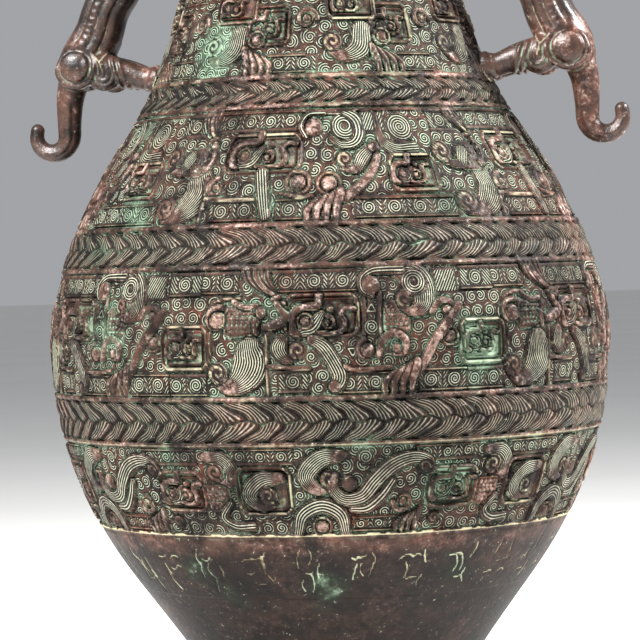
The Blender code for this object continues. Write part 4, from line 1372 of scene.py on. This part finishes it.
def add_light(name, place, target, power, size):
    """Soft square light aimed at a point."""
    data = bpy.data.lights.new(name, "AREA")
    data.energy = power
    data.size = size
    lamp = linked(name, data)
    lamp.location = place
    lamp.rotation_euler = (Vector(target) - Vector(place)).to_track_quat("-Z", "Y").to_euler()


def plain_finish(name, colour):
    finish = Finish(name)
    cloud = finish.noise(0.4, 2.0, 0.5).step(0.3, 0.7)
    finish.surface({"Base Color": finish.blend(cloud, colour, [0.97 * part for part in colour]),
                    "Roughness": 0.7})
    return finish.material


class HUVASE_OT_studio(bpy.types.Operator):
    """Build the pale floor, the soft lights, the surroundings and the camera"""

    bl_idname = "hu_vase.studio"
    bl_label = "Studio"

    def execute(self, context):
        studio = context.scene.hu_vase.studio
        bm = bmesh.new()
        bmesh.ops.create_grid(bm, x_segments=1, y_segments=1, size=studio.floor_size / 2)
        floor = shaped("studio_floor", bm)
        floor.data.materials.append(plain_finish("studio_floor_finish", studio.floor_colour))

        world = bpy.data.worlds.new("studio_surroundings")
        world.use_nodes = True
        background = world.node_tree.nodes["Background"]
        background.inputs["Color"].default_value = (0.86, 0.88, 0.92, 1.0)
        background.inputs["Strength"].default_value = studio.surround
        context.scene.world = world
        context.scene.view_settings.view_transform = "Standard"

        middle = (0.0, 0.0, studio.camera_height)
        right = Vector((math.cos(VIEW_TURN), math.sin(VIEW_TURN), 0.0))
        toward = Vector((math.sin(VIEW_TURN), -math.cos(VIEW_TURN), 0.0))
        above = Vector((0.0, 0.0, 1.0))
        add_light("key_light", right * -0.80 + toward * 0.80 + above * 1.25, middle, studio.key_power, 0.40)
        add_light("side_light", right * 1.05 + toward * 0.05 + above * 1.10, middle, studio.side_power, 0.30)

        data = bpy.data.cameras.new("photo_camera")
        data.sensor_width = SENSOR
        data.lens = LENS
        data.clip_end = 100.0
        camera = linked("photo_camera", data)
        place = toward * studio.camera_distance + above * studio.camera_height
        aim = Matrix.Rotation(VIEW_YAW, 3, "Z") @ -toward
        aim.z = -math.tan(VIEW_PITCH)
        turn = aim.to_track_quat("-Z", "Y").to_matrix() @ Matrix.Rotation(-VIEW_ROLL, 3, "Z")
        camera.matrix_world = Matrix.Translation(place) @ turn.to_4x4()
        context.scene.camera = camera
        return {"FINISHED"}


class HUVASE_PT_panel(bpy.types.Panel):
    """Lists the steps that build the vase and its settings"""

    bl_idname = "HUVASE_PT_panel"
    bl_label = "Hu Vase"
    bl_space_type = "VIEW_3D"
    bl_region_type = "UI"
    bl_category = "Hu Vase"

    def draw(self, context):
        settings = context.scene.hu_vase
        for step in STEPS:
            self.layout.operator(step.bl_idname)
        for group in (settings.sizes, settings.colours, settings.studio):
            box = self.layout.box()
            for key in group.__annotations__:
                box.prop(group, key)


STEPS = (HUVASE_OT_zones, HUVASE_OT_lip_and_foot, HUVASE_OT_handles, HUVASE_OT_studio)
CLASSES = (VaseSizes, BronzeColours, StudioSettings, VaseSettings, *STEPS, HUVASE_PT_panel)


def register():
    for item in CLASSES:
        bpy.utils.register_class(item)
    bpy.types.Scene.hu_vase = bpy.props.PointerProperty(type=VaseSettings)


def unregister():
    del bpy.types.Scene.hu_vase
    for item in reversed(CLASSES):
        bpy.utils.unregister_class(item)


def main():
    register()
    bpy.ops.hu_vase.zones()
    bpy.ops.hu_vase.lip_and_foot()
    bpy.ops.hu_vase.handles()
    bpy.ops.hu_vase.studio()


if __name__ == "__main__":
    main()
